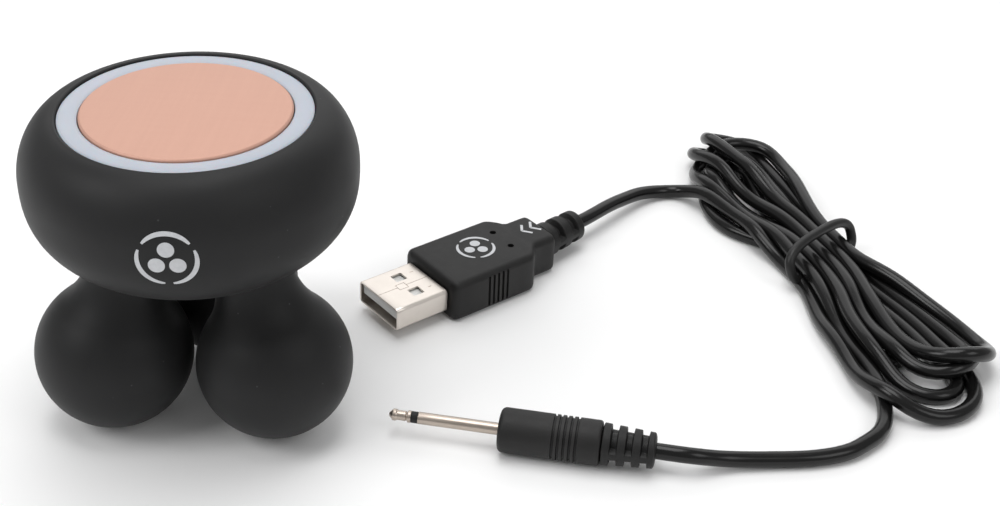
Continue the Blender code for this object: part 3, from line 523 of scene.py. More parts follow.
def turned_mesh(name, outline, sides, closed=False, angle=40.0):
    """A mesh turned about its local Z axis from (radius, height) points.

    An open outline starts and ends on the axis; a closed one is a ring or a shell.
    """
    builder = bmesh.new()
    rings = []
    for radius, height in outline:
        if radius < 1e-6:
            rings.append([builder.verts.new((0.0, 0.0, height))])
            continue
        ring = []
        for i in range(sides):
            turn = math.tau * i / sides
            ring.append(builder.verts.new((radius * math.cos(turn), radius * math.sin(turn), height)))
        rings.append(ring)
    pairs = list(zip(rings, rings[1:]))
    if closed:
        pairs.append((rings[-1], rings[0]))
    for here, there in pairs:
        for i in range(sides):
            j = (i + 1) % sides
            corners = [here[i % len(here)], here[j % len(here)]]
            corners += [there[j % len(there)], there[i % len(there)]]
            corners = list(dict.fromkeys(corners))
            if len(corners) > 2:
                builder.faces.new(corners)
    return mesh_from(name, builder, angle)


def along_x(builder):
    """Turn a mesh made about Z so that it runs along X."""
    turn = Matrix.Rotation(math.pi / 2, 3, "Y")
    bmesh.ops.rotate(builder, cent=(0, 0, 0), matrix=turn, verts=builder.verts)


def cut_object(piece, tools, operation="DIFFERENCE"):
    """Cut a piece with tool meshes placed in millimetres, and apply the result."""
    for mesh, place in tools:
        tool = new_object("tool", mesh, place)
        step = piece.modifiers.new("cut", "BOOLEAN")
        step.operation = operation
        step.solver = "EXACT"
        step.object = tool
        bpy.context.view_layer.update()
        graph = bpy.context.evaluated_depsgraph_get()
        result = bpy.data.meshes.new_from_object(piece.evaluated_get(graph))
        piece.modifiers.clear()
        piece.data = result
        bpy.data.objects.remove(tool)


def taken_mesh(loose, angle=35.0):
    """Take the finished mesh of a loose object and remove the object."""
    mesh = loose.data
    bpy.data.objects.remove(loose)
    mesh.materials.clear()
    mesh.shade_smooth()
    mesh.set_sharp_from_angle(angle=math.radians(angle))
    return mesh


def bar_mesh(radius, low, high, sides=64):
    """A plain round cutter about Z."""
    return turned_mesh("cutter", [(0.0, high), (radius, high), (radius, low), (0.0, low)], sides)


def box_mesh(size, centre, edge=0.0, segments=4):
    """A block with rounded edges, for cutting or for building up."""
    builder = bmesh.new()
    bmesh.ops.create_cube(builder, size=1.0)
    bmesh.ops.scale(builder, vec=size, verts=builder.verts)
    bmesh.ops.translate(builder, vec=centre, verts=builder.verts)
    if edge:
        edges = builder.edges[:]
        bmesh.ops.bevel(builder, geom=edges, offset=edge, segments=segments, profile=0.5, affect="EDGES")
    return mesh_from("block", builder)


def oval_mesh(half_width, half_height, low, high, sides=96):
    """An oval bar along X at the button's height."""
    builder = bmesh.new()
    rings = []
    for x in (low, high):
        ring = []
        for i in range(sides):
            turn = math.tau * i / sides
            spot = (x, half_width * math.cos(turn), BUTTON_Z + half_height * math.sin(turn))
            ring.append(builder.verts.new(spot))
        rings.append(ring)
    join_rings(builder, rings)
    return mesh_from("oval", builder)


# ---------------------------------------------------------------- the head


def head_point(share):
    """Radius and height on the head's outline, from the lip at 0 to the underside's middle at 1."""
    if share < UPPER_SHARE:
        angle = math.pi / 2 * (1 - share / UPPER_SHARE)
        radius = LIP_RADIUS + (HEAD_RADIUS - LIP_RADIUS) * abs(math.cos(angle)) ** (2 / UPPER_POWER)
        height = HEAD_WIDEST_Z + (LIP_Z - HEAD_WIDEST_Z) * math.sin(angle) ** (2 / UPPER_POWER)
        return radius, height
    angle = math.pi / 2 * (share - UPPER_SHARE) / (1 - UPPER_SHARE)
    radius = HEAD_RADIUS * abs(math.cos(angle)) ** (2 / LOWER_POWER_RADIAL)
    drop = (HEAD_WIDEST_Z - HEAD_BOTTOM_Z) * math.sin(angle) ** (2 / LOWER_POWER_HEIGHT)
    return radius, HEAD_WIDEST_Z - drop


def head_outline(inset, steps=72):
    """The head's outline from its lip to its axis, moved inwards by inset."""
    points = [head_point(i / steps) for i in range(steps)] + [(0.0, HEAD_BOTTOM_Z)]
    if not inset:
        return points
    moved = []
    for i, (radius, height) in enumerate(points):
        before = points[max(i - 1, 0)]
        after = points[min(i + 1, len(points) - 1)]
        run = after[0] - before[0]
        rise = after[1] - before[1]
        length = math.hypot(run, rise)
        moved.append((radius + inset * rise / length, height - inset * run / length))
    moved[0] = (LIP_RADIUS, LIP_Z - inset)
    moved[-1] = (0.0, HEAD_BOTTOM_Z + inset)
    return moved


def leg_place(name):
    """Matrix of a leg: origin at the ball's centre, local Z up along the leaning neck."""
    turn = Matrix.Rotation(math.radians(LEG_AZIMUTHS[name]), 4, "Z")
    out = Matrix.Translation((BALL_CIRCLE, 0.0, BALL_RADIUS))
    return HEAD_PLACE @ turn @ out @ Matrix.Rotation(-LEG_LEAN, 4, "Y")


def lip_outline():
    """Outer and inner outline of the skin, with a small rolled edge at the lip."""
    outer = head_outline(0.0)
    inner = head_outline(SKIN, 48)
    roll = LIP_ROLL
    rolled = [point for point in outer if point[0] > LIP_RADIUS + roll or point[1] < HEAD_WIDEST_Z]
    lip = [(LIP_RADIUS, LIP_Z - roll)]
    for i in range(1, 5):
        turn = math.pi / 2 * i / 4
        lip.append((LIP_RADIUS + roll * (1 - math.cos(turn)), LIP_Z - roll * (1 - math.sin(turn))))
    return lip + rolled + inner[::-1]


def make_head(skin):
    """Soft skin of the head with its openings."""
    mesh = turned_mesh("head_skin", lip_outline(), 192, closed=True)
    loose = new_object("head_skin", mesh, HEAD_PLACE)
    clearance = 0.06
    tools = []
    for name in LEG_AZIMUTHS:
        tools.append((bar_mesh(NECK_RADIUS + clearance, 13.0, 21.0, 96), leg_place(name)))
    button = oval_mesh(BUTTON_HALF_WIDTH + GAP, BUTTON_HALF_HEIGHT + GAP, -30.0, -21.0)
    tools.append((button, HEAD_PLACE))
    charge = HEAD_PLACE @ Matrix.Translation((0.0, 0.0, SPLIT_Z)) @ Matrix.Rotation(-math.pi / 2, 4, "X")
    tools.append((bar_mesh(CHARGE_HOLE_RADIUS, 15.0, 30.0), charge))
    cut_object(loose, tools)
    add_piece("head_skin", taken_mesh(loose), HEAD_PLACE, skin, "massager", "black_silicone", "head_sleeve")


def arc(centre, radius, start, end, steps):
    """Points on an arc in the outline plane; angles in degrees from the radial direction."""
    points = []
    for i in range(steps + 1):
        turn = math.radians(start + (end - start) * i / steps)
        points.append((centre[0] + radius * math.cos(turn), centre[1] + radius * math.sin(turn)))
    return points


def ball_outline(ball, neck, fillet, top, fillet_steps, ball_steps):
    """Ball and neck outline from the top of the neck down to the ball's lowest point."""
    centre_r = neck + fillet
    centre_z = math.sqrt((ball + fillet) ** 2 - centre_r**2)
    meeting = math.degrees(math.atan2(centre_z, centre_r))
    points = [(neck, top)]
    points += arc((centre_r, centre_z), fillet, 180.0, 180.0 + meeting, fillet_steps)
    points += arc((0.0, 0.0), ball, meeting, -90.0, ball_steps)[1:]
    points[-1] = (0.0, -ball)
    return points


def make_balls(skin):
    """Smooth skins of the three balls and their necks."""
    top = NECK_TO_HEAD + SKIN
    outer = ball_outline(BALL_RADIUS, NECK_RADIUS, NECK_FILLET, top, 18, 56)
    inner = ball_outline(BALL_RADIUS - SKIN, SPIGOT_RADIUS + GAP, NECK_FILLET + SKIN, top, 12, 32)
    for name in LEG_AZIMUTHS:
        mesh = turned_mesh(f"ball_skin_{name}", outer + inner[::-1], 144, closed=True)
        mesh.transform(to_metres(leg_place(name)))
        here = Matrix.Identity(4)
        node = f"ball_sleeve_{name}"
        add_piece(f"ball_skin_{name}", mesh, here, skin, "massager", "black_silicone", node)


def make_button(skin):
    """Oval button whose face follows the head, with a softly raised middle."""
    face = [(0.0, LIP_Z)] + head_outline(0.0)
    body = new_object("button_shape", turned_mesh("button_shape", face, 192), HEAD_PLACE)
    oval = oval_mesh(BUTTON_HALF_WIDTH, BUTTON_HALF_HEIGHT, -28.0, -19.3)
    cut_object(body, [(oval, HEAD_PLACE)], "INTERSECT")
    wide = BUTTON_HALF_WIDTH + BUTTON_FLANGE
    flange = oval_mesh(wide, BUTTON_HALF_HEIGHT + BUTTON_FLANGE, -19.4, -18.5)
    stem_place = HEAD_PLACE @ Matrix.Translation((0.0, 0.0, BUTTON_STEM_Z))
    stem_place = stem_place @ Matrix.Rotation(math.pi / 2, 4, "Y")
    stem = bar_mesh(BUTTON_STEM_RADIUS, -19.0, -17.9, 32)
    cut_object(body, [(flange, HEAD_PLACE), (stem, stem_place)], "UNION")
    mesh = taken_mesh(body)
    add_piece("button_cap", mesh, HEAD_PLACE, skin, "power_button", "black_silicone", "power_button")


def make_top(plate_finish, ring_finish):
    """Satin plate with a fine chamfered rim, and the diffuser ring with a soft crown."""
    bottom = PLATE_TOP_Z - PLATE_THICKNESS
    plate = [
        (0.0, PLATE_TOP_Z),
        (PLATE_RADIUS - PLATE_CHAMFER, PLATE_TOP_Z),
        (PLATE_RADIUS, PLATE_TOP_Z - PLATE_CHAMFER),
        (PLATE_RADIUS, bottom),
        (0.0, bottom),
    ]
    mesh = turned_mesh("satin_plate", softened(plate, 0.12, 3), 192, angle=60.0)
    add_piece("satin_plate", mesh, HEAD_PLACE, plate_finish, "massager", "rose_gold", "touch_plate")

    outer = LIP_RADIUS - RING_GAP
    inner = PLATE_RADIUS + RING_GAP
    middle = (outer + inner) / 2
    half = (outer - inner) / 2
    ring = []
    for i in range(13):
        turn = math.pi * i / 12
        crown = RING_TOP_Z - RING_CROWN + RING_CROWN * math.sin(turn) ** 0.6
        ring.append((middle - half * math.cos(turn), crown))
    ring += [(outer, RING_BOTTOM_Z), (inner, RING_BOTTOM_Z)]
    mesh = turned_mesh("diffuser_ring", ring, 192, closed=True)
    add_piece("diffuser_ring", mesh, HEAD_PLACE, ring_finish, "massager", "milky_ring", "light_ring")


# ---------------------------------------------------------------- printed marks
# Generic marks of this model's own: three dots between three curved strokes, and two chevrons.


def dot_patch(centre, radius, rings=4, sides=28):
    """Vertices and faces of a filled round dot in the print's plane."""
    verts = [centre]
    for r in range(1, rings + 1):
        for i in range(sides):
            turn = math.tau * i / sides
            reach = radius * r / rings
            verts.append((centre[0] + reach * math.cos(turn), centre[1] + reach * math.sin(turn)))
    faces = [(0, 1 + i, 1 + (i + 1) % sides) for i in range(sides)]
    for r in range(1, rings):
        low = 1 + (r - 1) * sides
        for i in range(sides):
            j = (i + 1) % sides
            faces.append((low + i, low + sides + i, low + sides + j, low + j))
    return verts, faces


def stroke_patch(radius, width, start, end, steps=24):
    """Vertices and faces of a curved stroke round the mark's middle; angles in degrees."""
    verts = []
    for i in range(steps + 1):
        turn = math.radians(start + (end - start) * i / steps)
        taper = math.sin(math.pi * (i + 0.8) / (steps + 1.6)) ** 0.35
        for side in (-0.5, 0.0, 0.5):
            reach = radius + width * side * taper
            verts.append((reach * math.cos(turn), reach * math.sin(turn)))
    faces = []
    for i in range(steps):
        for k in (0, 1):
            a = 3 * i + k
            faces.append((a, a + 3, a + 4, a + 1))
    return verts, faces


def bar_patch(start, end, width, steps=8):
    """Vertices and faces of a straight stroke in the print's plane."""
    way = (Vector(end) - Vector(start)).normalized()
    side = Vector((-way.y, way.x)) * width / 2
    verts = []
    for i in range(steps + 1):
        spot = Vector(start).lerp(Vector(end), i / steps)
        verts += [tuple(spot - side), tuple(spot + side)]
    faces = [(2 * i, 2 * i + 2, 2 * i + 3, 2 * i + 1) for i in range(steps)]
    return verts, faces


def dots_mark(size):
    """Three dots in a triangle between three curved strokes, of the given outer radius."""
    patches = []
    for i in range(3):
        turn = math.radians(90 + 120 * i)
        spot = (0.36 * size * math.cos(turn), 0.36 * size * math.sin(turn))
        patches.append(dot_patch(spot, 0.25 * size))
        patches.append(stroke_patch(0.88 * size, 0.15 * size, 38 + 120 * i, 142 + 120 * i))
    return patches


def chevrons_mark():
    """Two chevrons that point towards the plug's tip."""
    patches = []
    for shift in (0.0, 2.1):
        for side in (-1, 1):
            patches.append(bar_patch((shift, 0.0), (shift + 1.25, side * 1.7), 0.5))
    return patches


def print_mesh(name, patches, surface):
    """A thin printed film: patches mapped onto a surface by a function of two coordinates."""
    builder = bmesh.new()
    for verts, faces in patches:
        top = []
        under = []
        for u, v in verts:
            point, normal = surface(u, v)
            top.append(builder.verts.new(point + normal * (PRINT_GAP + PRINT_THICKNESS)))
            under.append(builder.verts.new(point + normal * PRINT_GAP))
        used = {}
        for face in faces:
            builder.faces.new([top[i] for i in face])
            builder.faces.new([under[i] for i in reversed(face)])
            for a, b in zip(face, face[1:] + face[:1]):
                used[(a, b)] = True
        for a, b in used:
            if (b, a) not in used:
                builder.faces.new((top[a], under[a], under[b], top[b]))
    return mesh_from(name, builder)


def head_surface(height):
    """Mapping of a mark onto the head's front: u to the right, v up, about a given height."""
    outline = head_outline(0.0, 400)[1:]
    lengths = [0.0]
    for (r0, z0), (r1, z1) in zip(outline, outline[1:]):
        lengths.append(lengths[-1] + math.hypot(r1 - r0, z1 - z0))
    radii = [point[0] for point in outline]
    heights = [point[1] for point in outline]
    middle = float(np.interp(-height, [-z for z in heights], lengths))
    ahead = 0.2

    def place(u, v):
        along = middle - v
        radius = float(np.interp(along, lengths, radii))
        z = float(np.interp(along, lengths, heights))
        ahead_r = float(np.interp(along + ahead, lengths, radii))
        ahead_z = float(np.interp(along + ahead, lengths, heights))
        turn = HEAD_MARK_AZIMUTH + u / radius
        slope = Vector((ahead_r - radius, ahead_z - z)).normalized()
        out = Vector((math.cos(turn), math.sin(turn), 0.0))
        normal = out * -slope.y + Vector((0.0, 0.0, slope.x))
        return out * radius + Vector((0.0, 0.0, z)), normal

    return place


def make_head_mark(ink):
    """The mark on the head's front."""
    mesh = print_mesh("head_mark", dots_mark(HEAD_MARK_RADIUS), head_surface(HEAD_MARK_Z))
    add_piece("head_mark", mesh, HEAD_PLACE, ink, "massager", "white_plastic")


# ---------------------------------------------------------------- USB plug


def usb_place():
    """Matrix of the USB plug: origin below its tip on the table, local X towards the cable."""
    return Matrix.Translation((USB_TIP[0], USB_TIP[1], 0.0)) @ Matrix.Rotation(USB_YAW, 4, "Z")


def usb_relief_place():
    """Matrix of the USB strain relief, turned at its root by the cable."""
    root = usb_place() @ Matrix.Translation((USB_BODY_END + GAP, 0.0, USB_AXIS_Z))
    return root @ Matrix.Rotation(USB_RELIEF_TURN, 4, "Z")


def rounded_rectangle(half_width, half_height, corner, per_corner=6):
    """Points round a rounded rectangle in the YZ plane."""
    points = []
    for side_y, side_z, start in ((1, 1, 0), (-1, 1, 90), (-1, -1, 180), (1, -1, 270)):
        for i in range(per_corner + 1):
            turn = math.radians(start + 90 * i / per_corner)
            points.append((
                side_y * (half_width - corner) + corner * math.cos(turn),
                side_z * (half_height - corner) + corner * math.sin(turn),
            ))
    return points


def make_usb_shell(finish):
    """Folded sheet-metal shell: rounded tube, windows, centre seam, rolled front edge."""
    length, width, height = USB_SHELL_SIZE
    wall = USB_SHELL_WALL
    corner = USB_SHELL_CORNER
    outside = ((0.0, -0.16), (0.05, -0.06), (0.16, 0.0), (2.0, 0.0), (length - 2.0, 0.0), (length, 0.0))
    inside = ((0.0, 0.1), (0.14, 0.0), (length - wall, 0.0))
    sections = [(x, grow, corner + grow) for x, grow in reversed(outside)]
    sections += [(x, grow - wall, corner - 0.3) for x, grow in inside]
    builder = bmesh.new()
    rings = []
    for x, grow, bend in sections:
        ring = []
        for y, z in rounded_rectangle(width / 2 + grow, height / 2 + grow, bend):
            ring.append(builder.verts.new((x, y, USB_AXIS_Z + z)))
        rings.append(ring)
    join_rings(builder, rings)
    loose = new_object("usb_shell_sheet", mesh_from("usb_shell_sheet", builder), usb_place())
    top = USB_AXIS_Z + height / 2
    window = USB_WINDOW_SIZE
    seam = USB_SEAM_WIDTH
    deep = USB_SEAM_DEPTH
    cuts = [((window, window, 2.0), (USB_WINDOW_X, side * USB_WINDOW_Y), 0.12) for side in (-1, 1)]
    cuts += [((4.4, seam, deep), (2.1, 0.0), 0.0), ((5.1, seam, deep), (8.6, 0.0), 0.0)]
    cuts += [((1.9, seam, deep), (5.2, side * 0.8), 0.0) for side in (-1, 1)]
    cuts += [((seam, 1.7, deep), (x, 0.0), 0.0) for x in (4.27, 6.13)]
    cuts += [((0.7, 0.16, 0.3), (9.3, side * 2.9), 0.05) for side in (-1, 1)]
    cut_object(loose, [(box_mesh(size, (x, y, top), edge, 2), usb_place()) for size, (x, y), edge in cuts])
    mesh = taken_mesh(loose, 30.0)
    lead_piece("usb_shell_sheet", mesh, usb_place(), finish, "nickel", "usb_shell")


def make_usb_tongue(plastic, metal):
    """White tongue with four gold-plated contact strips on its lower face."""
    length, width, height = USB_TONGUE_SIZE
    back = USB_SHELL_SIZE[0] - USB_SHELL_WALL - GAP
    top = USB_AXIS_Z + USB_SHELL_SIZE[2] / 2 - USB_SHELL_WALL - GAP
    centre = (back - length / 2, 0.0, top - height / 2)
    mesh = box_mesh(USB_TONGUE_SIZE, centre, 0.22, 3)
    lead_piece("usb_tongue_block", mesh, usb_place(), plastic, "white_plastic", "usb_tongue")
    strips = bmesh.new()
    for i in range(4):
        across = (i - 1.5) * USB_CONTACT_PITCH
        strip = box_mesh(USB_CONTACT_SIZE, (back - 4.1, across, top - height - 0.04), 0.04, 2)
        strips.from_mesh(strip)
    bmesh.ops.scale(strips, vec=(1 / MM, 1 / MM, 1 / MM), verts=strips.verts)
    mesh = mesh_from("usb_contacts", strips)
    lead_piece("usb_contacts", mesh, usb_place(), metal, "weight_brass")


def body_half_width(x):
    """Half width of the USB body along its length, with an eased shoulder."""
    share = (x - USB_BODY_SHOULDER) / (USB_BODY_STEP - USB_BODY_SHOULDER)
    share = min(max(share, 0.0), 1.0)
    return USB_BODY_HALF_WIDTH + (USB_BODY_REAR_HALF_WIDTH - USB_BODY_HALF_WIDTH) * share


def rounded_end(tip, reach, way):
    """Stations from a rounded end's tip inwards: place, and how far the outline shrinks there."""
    stations = []
    for i in range(7):
        turn = math.pi / 2 * i / 6
        stations.append((tip + way * reach * (1 - math.cos(turn)), reach * (1 - math.sin(turn))))
    return stations


def make_usb_body(finish):
    """Moulded grip: rounded edges, grooves on its sides, and two dimples on top."""
    builder = bmesh.new()
    half = USB_BODY_HEIGHT / 2
    edge = USB_BODY_EDGE
    middle = (15.0, 19.0, 23.0, 27.0, 29.2, 29.7, 30.2, 31.0, 31.8, 32.3, 32.8, 34.5, 36.2)
    stations = rounded_end(USB_BODY_START, edge, 1)
    stations += [(x, 0.0) for x in middle]
    stations += reversed(rounded_end(USB_BODY_END, USB_BODY_REAR_EDGE, -1)[:-1])
    rings = []
    for x, shrink in stations:
        smooth = (body_half_width(x - 0.45) + body_half_width(x) + body_half_width(x + 0.45)) / 3
        drop = USB_BODY_REAR_DROP if x > USB_BODY_STEP - 0.6 else 0.0
        high = half - shrink * 0.9 - drop
        wide = smooth - shrink
        ring = []
        for y, z in rounded_rectangle(wide, high, min(edge, high * 0.8, wide * 0.8), 8):
            ring.append(builder.verts.new((x, y, half + z)))
        rings.append(ring)
    join_rings(builder, rings)
    loose = new_object("usb_grip", mesh_from("usb_grip", builder, 50.0), usb_place())
    tools = []
    groove = (USB_GROOVE_WIDTH, 1.1, USB_BODY_HEIGHT - 1.7)
    for i in range(USB_GROOVES):
        x = USB_FIRST_GROOVE_X + USB_GROOVE_PITCH * i
        for side in (-1, 1):
            centre = (x, side * USB_BODY_HALF_WIDTH, half)
            tools.append((box_mesh(groove, centre, 0.2, 3), usb_place()))
    low = USB_BODY_HEIGHT - USB_DIMPLE_DEPTH
    for x, y in USB_DIMPLES:
        spot = usb_place() @ Matrix.Translation((x, y, 0.0))
        tools.append((bar_mesh(USB_DIMPLE_RADIUS, low, USB_BODY_HEIGHT + 1.0, 32), spot))
    cut_object(loose, tools)
    mesh = taken_mesh(loose, 38.0)
    lead_piece("usb_grip", mesh, usb_place(), finish, "black_plug", "usb_overmould")


def flat_top(height, centre, turn):
    """Mapping of a mark onto a flat face at a height, about a centre."""
    c, s = math.cos(turn), math.sin(turn)

    def place(u, v):
        return Vector((centre[0] + c * u - s * v, centre[1] + s * u + c * v, height)), Vector((0, 0, 1))

    return place


def make_usb_marks(ink):
    """The marks on the USB plug's flat top."""
    top = flat_top(USB_BODY_HEIGHT, USB_MARK_PLACE, math.pi / 2)
    mark = print_mesh("usb_mark", dots_mark(USB_MARK_RADIUS), top)
    lead_piece("usb_mark", mark, usb_place(), ink, "white_plastic")
    rear = flat_top(USB_BODY_HEIGHT - USB_BODY_REAR_DROP, USB_CHEVRONS_PLACE, 0.0)
    arrows = print_mesh("usb_chevrons", chevrons_mark(), rear)
    lead_piece("usb_chevrons", arrows, usb_place(), ink, "white_plastic")


# ---------------------------------------------------------------- strain reliefs and pin plug


def ramp_up(x, start, width):
    """Smooth step from 0 to 1."""
    share = min(max((x - start) / width, 0.0), 1.0)
    return share * share * (3 - 2 * share)


def relief_mesh(name, length, radii, rings, core):
    """Ringed strain relief: soft rings joined by webs on opposite sides, with slots between."""
    steps = 150
    sides = 96
    ring_share = 0.58
    edge = 0.1
    web_from = 0.93
    bottom = core * 0.72
    pitch = length / (rings - 0.4)
    builder = bmesh.new()
    loops = []
    for i in range(steps + 1):
        x = length * i / steps
        outer = radii[0] + (radii[1] - radii[0]) * x / length
        place = (x / pitch) % 1.0
        inside = ramp_up(place, 0.0, edge) * (1 - ramp_up(place, ring_share, edge))
        if x < 0.5 * pitch or x > (rings - 1 + edge) * pitch:
            inside = 1.0
        end = min(x / 0.35, (length - x) / 0.5, 1.0)
        round_off = math.sqrt(max(1 - (1 - end) ** 2, 0.0))
        loop = []
        for k in range(sides):
            turn = math.tau * k / sides
            bridge = ramp_up(abs(math.sin(turn)), web_from, 0.06)
            radius = core + (outer - core) * max(inside, bridge)
            radius = bottom + (radius - bottom) * round_off
            loop.append(builder.verts.new((radius * math.cos(turn), radius * math.sin(turn), x)))
        loops.append(loop)
    join_rings(builder, loops)
    along_x(builder)
    return mesh_from(name, builder, 55.0)


def make_reliefs(finish):
    """The two strain reliefs."""
    length = USB_RELIEF_END - USB_BODY_END
    mesh = relief_mesh("usb_relief", length, (3.4, 3.0), 3, 2.0)
    place = usb_relief_place() @ Matrix.Translation((-GAP, 0.0, 0.0))
    lead_piece("usb_relief", mesh, place, finish, "black_plug", "usb_strain_relief")
    mesh = relief_mesh("jack_relief", JACK_RELIEF_END - JACK_BODY_END, (3.45, 2.9), 4, 1.9)
    place = jack_place() @ Matrix.Translation((JACK_BODY_END, 0.0, 0.0))
    lead_piece("jack_relief", mesh, place, finish, "black_plug", "jack_strain_relief")


def jack_place():
    """Matrix of the pin plug: origin at its tip, local X towards the cable."""
    return Matrix.Translation((JACK_TIP[0], JACK_TIP[1], JACK_AXIS_Z)) @ Matrix.Rotation(JACK_YAW, 4, "Z")


def turned_along_x(name, outline, sides, angle=40.0):
    """A turned mesh whose axis is local X."""
    mesh = turned_mesh(name, outline, sides, angle=angle)
    mesh.transform(Matrix.Rotation(math.pi / 2, 4, "Y"))
    return mesh


def make_jack(metal, band, grip):
    """Pin plug: pointed contact, insulating band, barrel, and a round grip with ring grooves."""
    pin = JACK_PIN_RADIUS
    point = [
        (0.0, 0.0),
        (0.3 * pin, 0.08),
        (0.97 * pin, 0.7),
        (0.97 * pin, 1.2),
        (0.82 * pin, 1.45),
        (0.82 * pin, 2.85),
        (0.66 * pin, 2.95),
        (0.66 * pin, 3.05),
        (pin, 3.15),
        (pin, JACK_POINT_LENGTH + 0.15),
        (0.0, JACK_POINT_LENGTH + 0.15),
    ]
    mesh = turned_along_x("jack_point", softened(point, 0.1), 64)
    lead_piece("jack_point", mesh, jack_place(), metal, "nickel", "jack_tip")
    ring = [
        (0.0, JACK_POINT_LENGTH + 0.17),
        (0.96 * pin, JACK_POINT_LENGTH + 0.17),
        (0.96 * pin, JACK_INSULATOR_END - 0.02),
        (0.0, JACK_INSULATOR_END - 0.02),
    ]
    mesh = turned_along_x("jack_band", softened(ring, 0.06), 64)
    lead_piece("jack_band", mesh, jack_place(), band, "black_plug", "jack_insulator")
    barrel = [
        (0.0, JACK_INSULATOR_END),
        (pin, JACK_INSULATOR_END),
        (pin, JACK_PIN_LENGTH + 0.5),
        (0.0, JACK_PIN_LENGTH + 0.5),
    ]
    mesh = turned_along_x("jack_sleeve", softened(barrel, 0.1), 64)
    lead_piece("jack_sleeve", mesh, jack_place(), metal, "nickel", "jack_barrel")

    wide = JACK_BODY_RADIUS
    outline = [(0.0, JACK_PIN_LENGTH + 0.6), (pin + 0.35, JACK_PIN_LENGTH + 0.6)]
    outline += [(pin + 0.5, JACK_PIN_LENGTH + 0.12), (pin + 0.9, JACK_PIN_LENGTH)]
    outline += arc((wide - 0.9, JACK_PIN_LENGTH + 0.9), 0.9, -90.0, 0.0, 8)
    for x in JACK_GROOVES_X:
        outline += [(wide, x - 0.22), (wide - 0.3, x - 0.12), (wide - 0.3, x + 0.12), (wide, x + 0.22)]
    outline += arc((wide - 0.5, JACK_BODY_END - 0.5), 0.5, 0.0, 90.0, 5)
    outline += [(0.0, JACK_BODY_END)]
    mesh = turned_along_x("jack_grip", outline, 128, 50.0)
    lead_piece("jack_grip", mesh, jack_place(), grip, "black_plug", "jack_overmould")


# ---------------------------------------------------------------- the cable's line

USB_RUN = (
    (66.6, 61.6, 3.75),
    (69.4, 65.4, 3.2),
    (73.4, 70.2, 2.3),
    (77.7, 72.9, 1.6),
    (81.6, 73.7, 1.8),
)
JACK_RUN = (
    (114.3, 5.4, 1.4),
    (113.9, 1.2, 1.4),
    (112.6, -2.2, 1.4),
    (110.4, -4.8, 1.4),
    (106.4, -8.1, 1.4),
    (100.6, -10.2, 1.4),
    (93.4, -11.4, 1.5),
    (86.4, -12.6, 2.0),
)

# Where the passes go through the tie: six below, five in the valleys above them.
LOWER_Z = 3.25
UPPER_Z = 5.59


def tie_slot(name):
    """Across and height of a pass through the tie, such as B1 below on the near side."""
    index = int(name[1]) - 1
    if name[0] == "B":
        return CABLE_DIAMETER * (index - 2.5), LOWER_Z
    return CABLE_DIAMETER * (index - 2.0), UPPER_Z


# The cable's passes through the tie in turn. Between two passes lies one loop:
# how far its two sides run from the tie before the fold, where they lie across,
# their heights, how far the fold bulges as a share of a half circle, and the sides' bows.
PASSES = ("B1", "B5", "T2", "B4", "B2", "B3", "T3", "B6", "T4", "T5", "T1")
LOOPS = (
    dict(runs=(39.0, 40.0), sides=(-14.0, 5.6), heights=(4.1, 1.5), bulge=1.0, bows=(0.4, -0.6)),
    dict(runs=(-31.0, -32.0), sides=(6.3, -6.4), heights=(1.5, 4.0), bulge=1.0, bows=(0.0, 0.0)),
    dict(runs=(39.0, 37.5), sides=(-7.6, 3.4), heights=(4.4, 1.6), bulge=1.1, bows=(-1.6, -0.5)),
    dict(runs=(-27.0, -25.0), sides=(3.2, -10.4), heights=(1.4, 1.4), bulge=1.0, bows=(0.0, -2.6)),
    dict(runs=(27.0, 27.0), sides=(-8.2, 1.8), heights=(1.4, 1.4), bulge=1.25, bows=(0.0, 0.0)),
    dict(runs=(-38.5, -42.0), sides=(1.6, -5.2), heights=(1.6, 6.4), bulge=1.1, bows=(0.0, 0.0)),
    dict(runs=(34.0, 34.5), sides=(-4.6, 8.8), heights=(5.2, 1.8), bulge=1.05, bows=(-0.8, 0.0)),
    dict(runs=(-42.5, -45.5), sides=(9.6, -0.4), heights=(1.8, 6.9), bulge=1.0, bows=(0.0, 0.0)),
    dict(runs=(34.0, 35.0), sides=(-1.8, 12.0), heights=(6.6, 4.4), bulge=1.0, bows=(-0.8, 1.7)),
    dict(runs=(-38.0, -33.5), sides=(11.2, -7.6), heights=(4.6, 4.0), bulge=0.8, bows=(0.0, 0.0)),
)
USB_ENTRY = (
    (-28.6, -11.3, 2.7),
    (-24.3, -10.4, 3.6),
    (-19.7, -9.3, 4.1),
    (-14.5, -8.3, 4.1),
    (-8.5, -7.2, 3.6),
)
JACK_LEAVE = (
    (8.0, -5.9, 4.8),
    (14.0, -7.0, 3.6),
    (21.9, -8.2, 2.3),
    (29.6, -8.9, 1.6),
    (37.0, -10.8, 1.4),
)

# How the cable's line settles. Each round takes these steps of its bend, one inward and one
# outward in turn, so that loops keep their width. The last rounds take only the first two.
STIFF_STEPS = (0.5, -0.5, 0.5, -0.5, 0.5, -0.5)
SINK_SHARE = 0.8
SINK_STEP = 0.008
PULL_BACK = 0.01
LINE_SPACING = 1.5


def side_points(slot, run, across, height, bow):
    """Points of one side of a loop, from its slot in the tie to where its fold starts."""
    slot_across, slot_height = tie_slot(slot)
    way = 1 if run > 0 else -1
    tie_reach = 4
    points = []
    for i in range(8):
        share = i / 7
        k = ramp_up(share, 0.0, 1.0)
        along = way * (tie_reach + (abs(run) - tie_reach) * share)
        here = slot_across + (across - slot_across) * k + bow * math.sin(math.pi * share)
        points.append(Vector((along, here, slot_height + (height - slot_height) * k)))
    return points


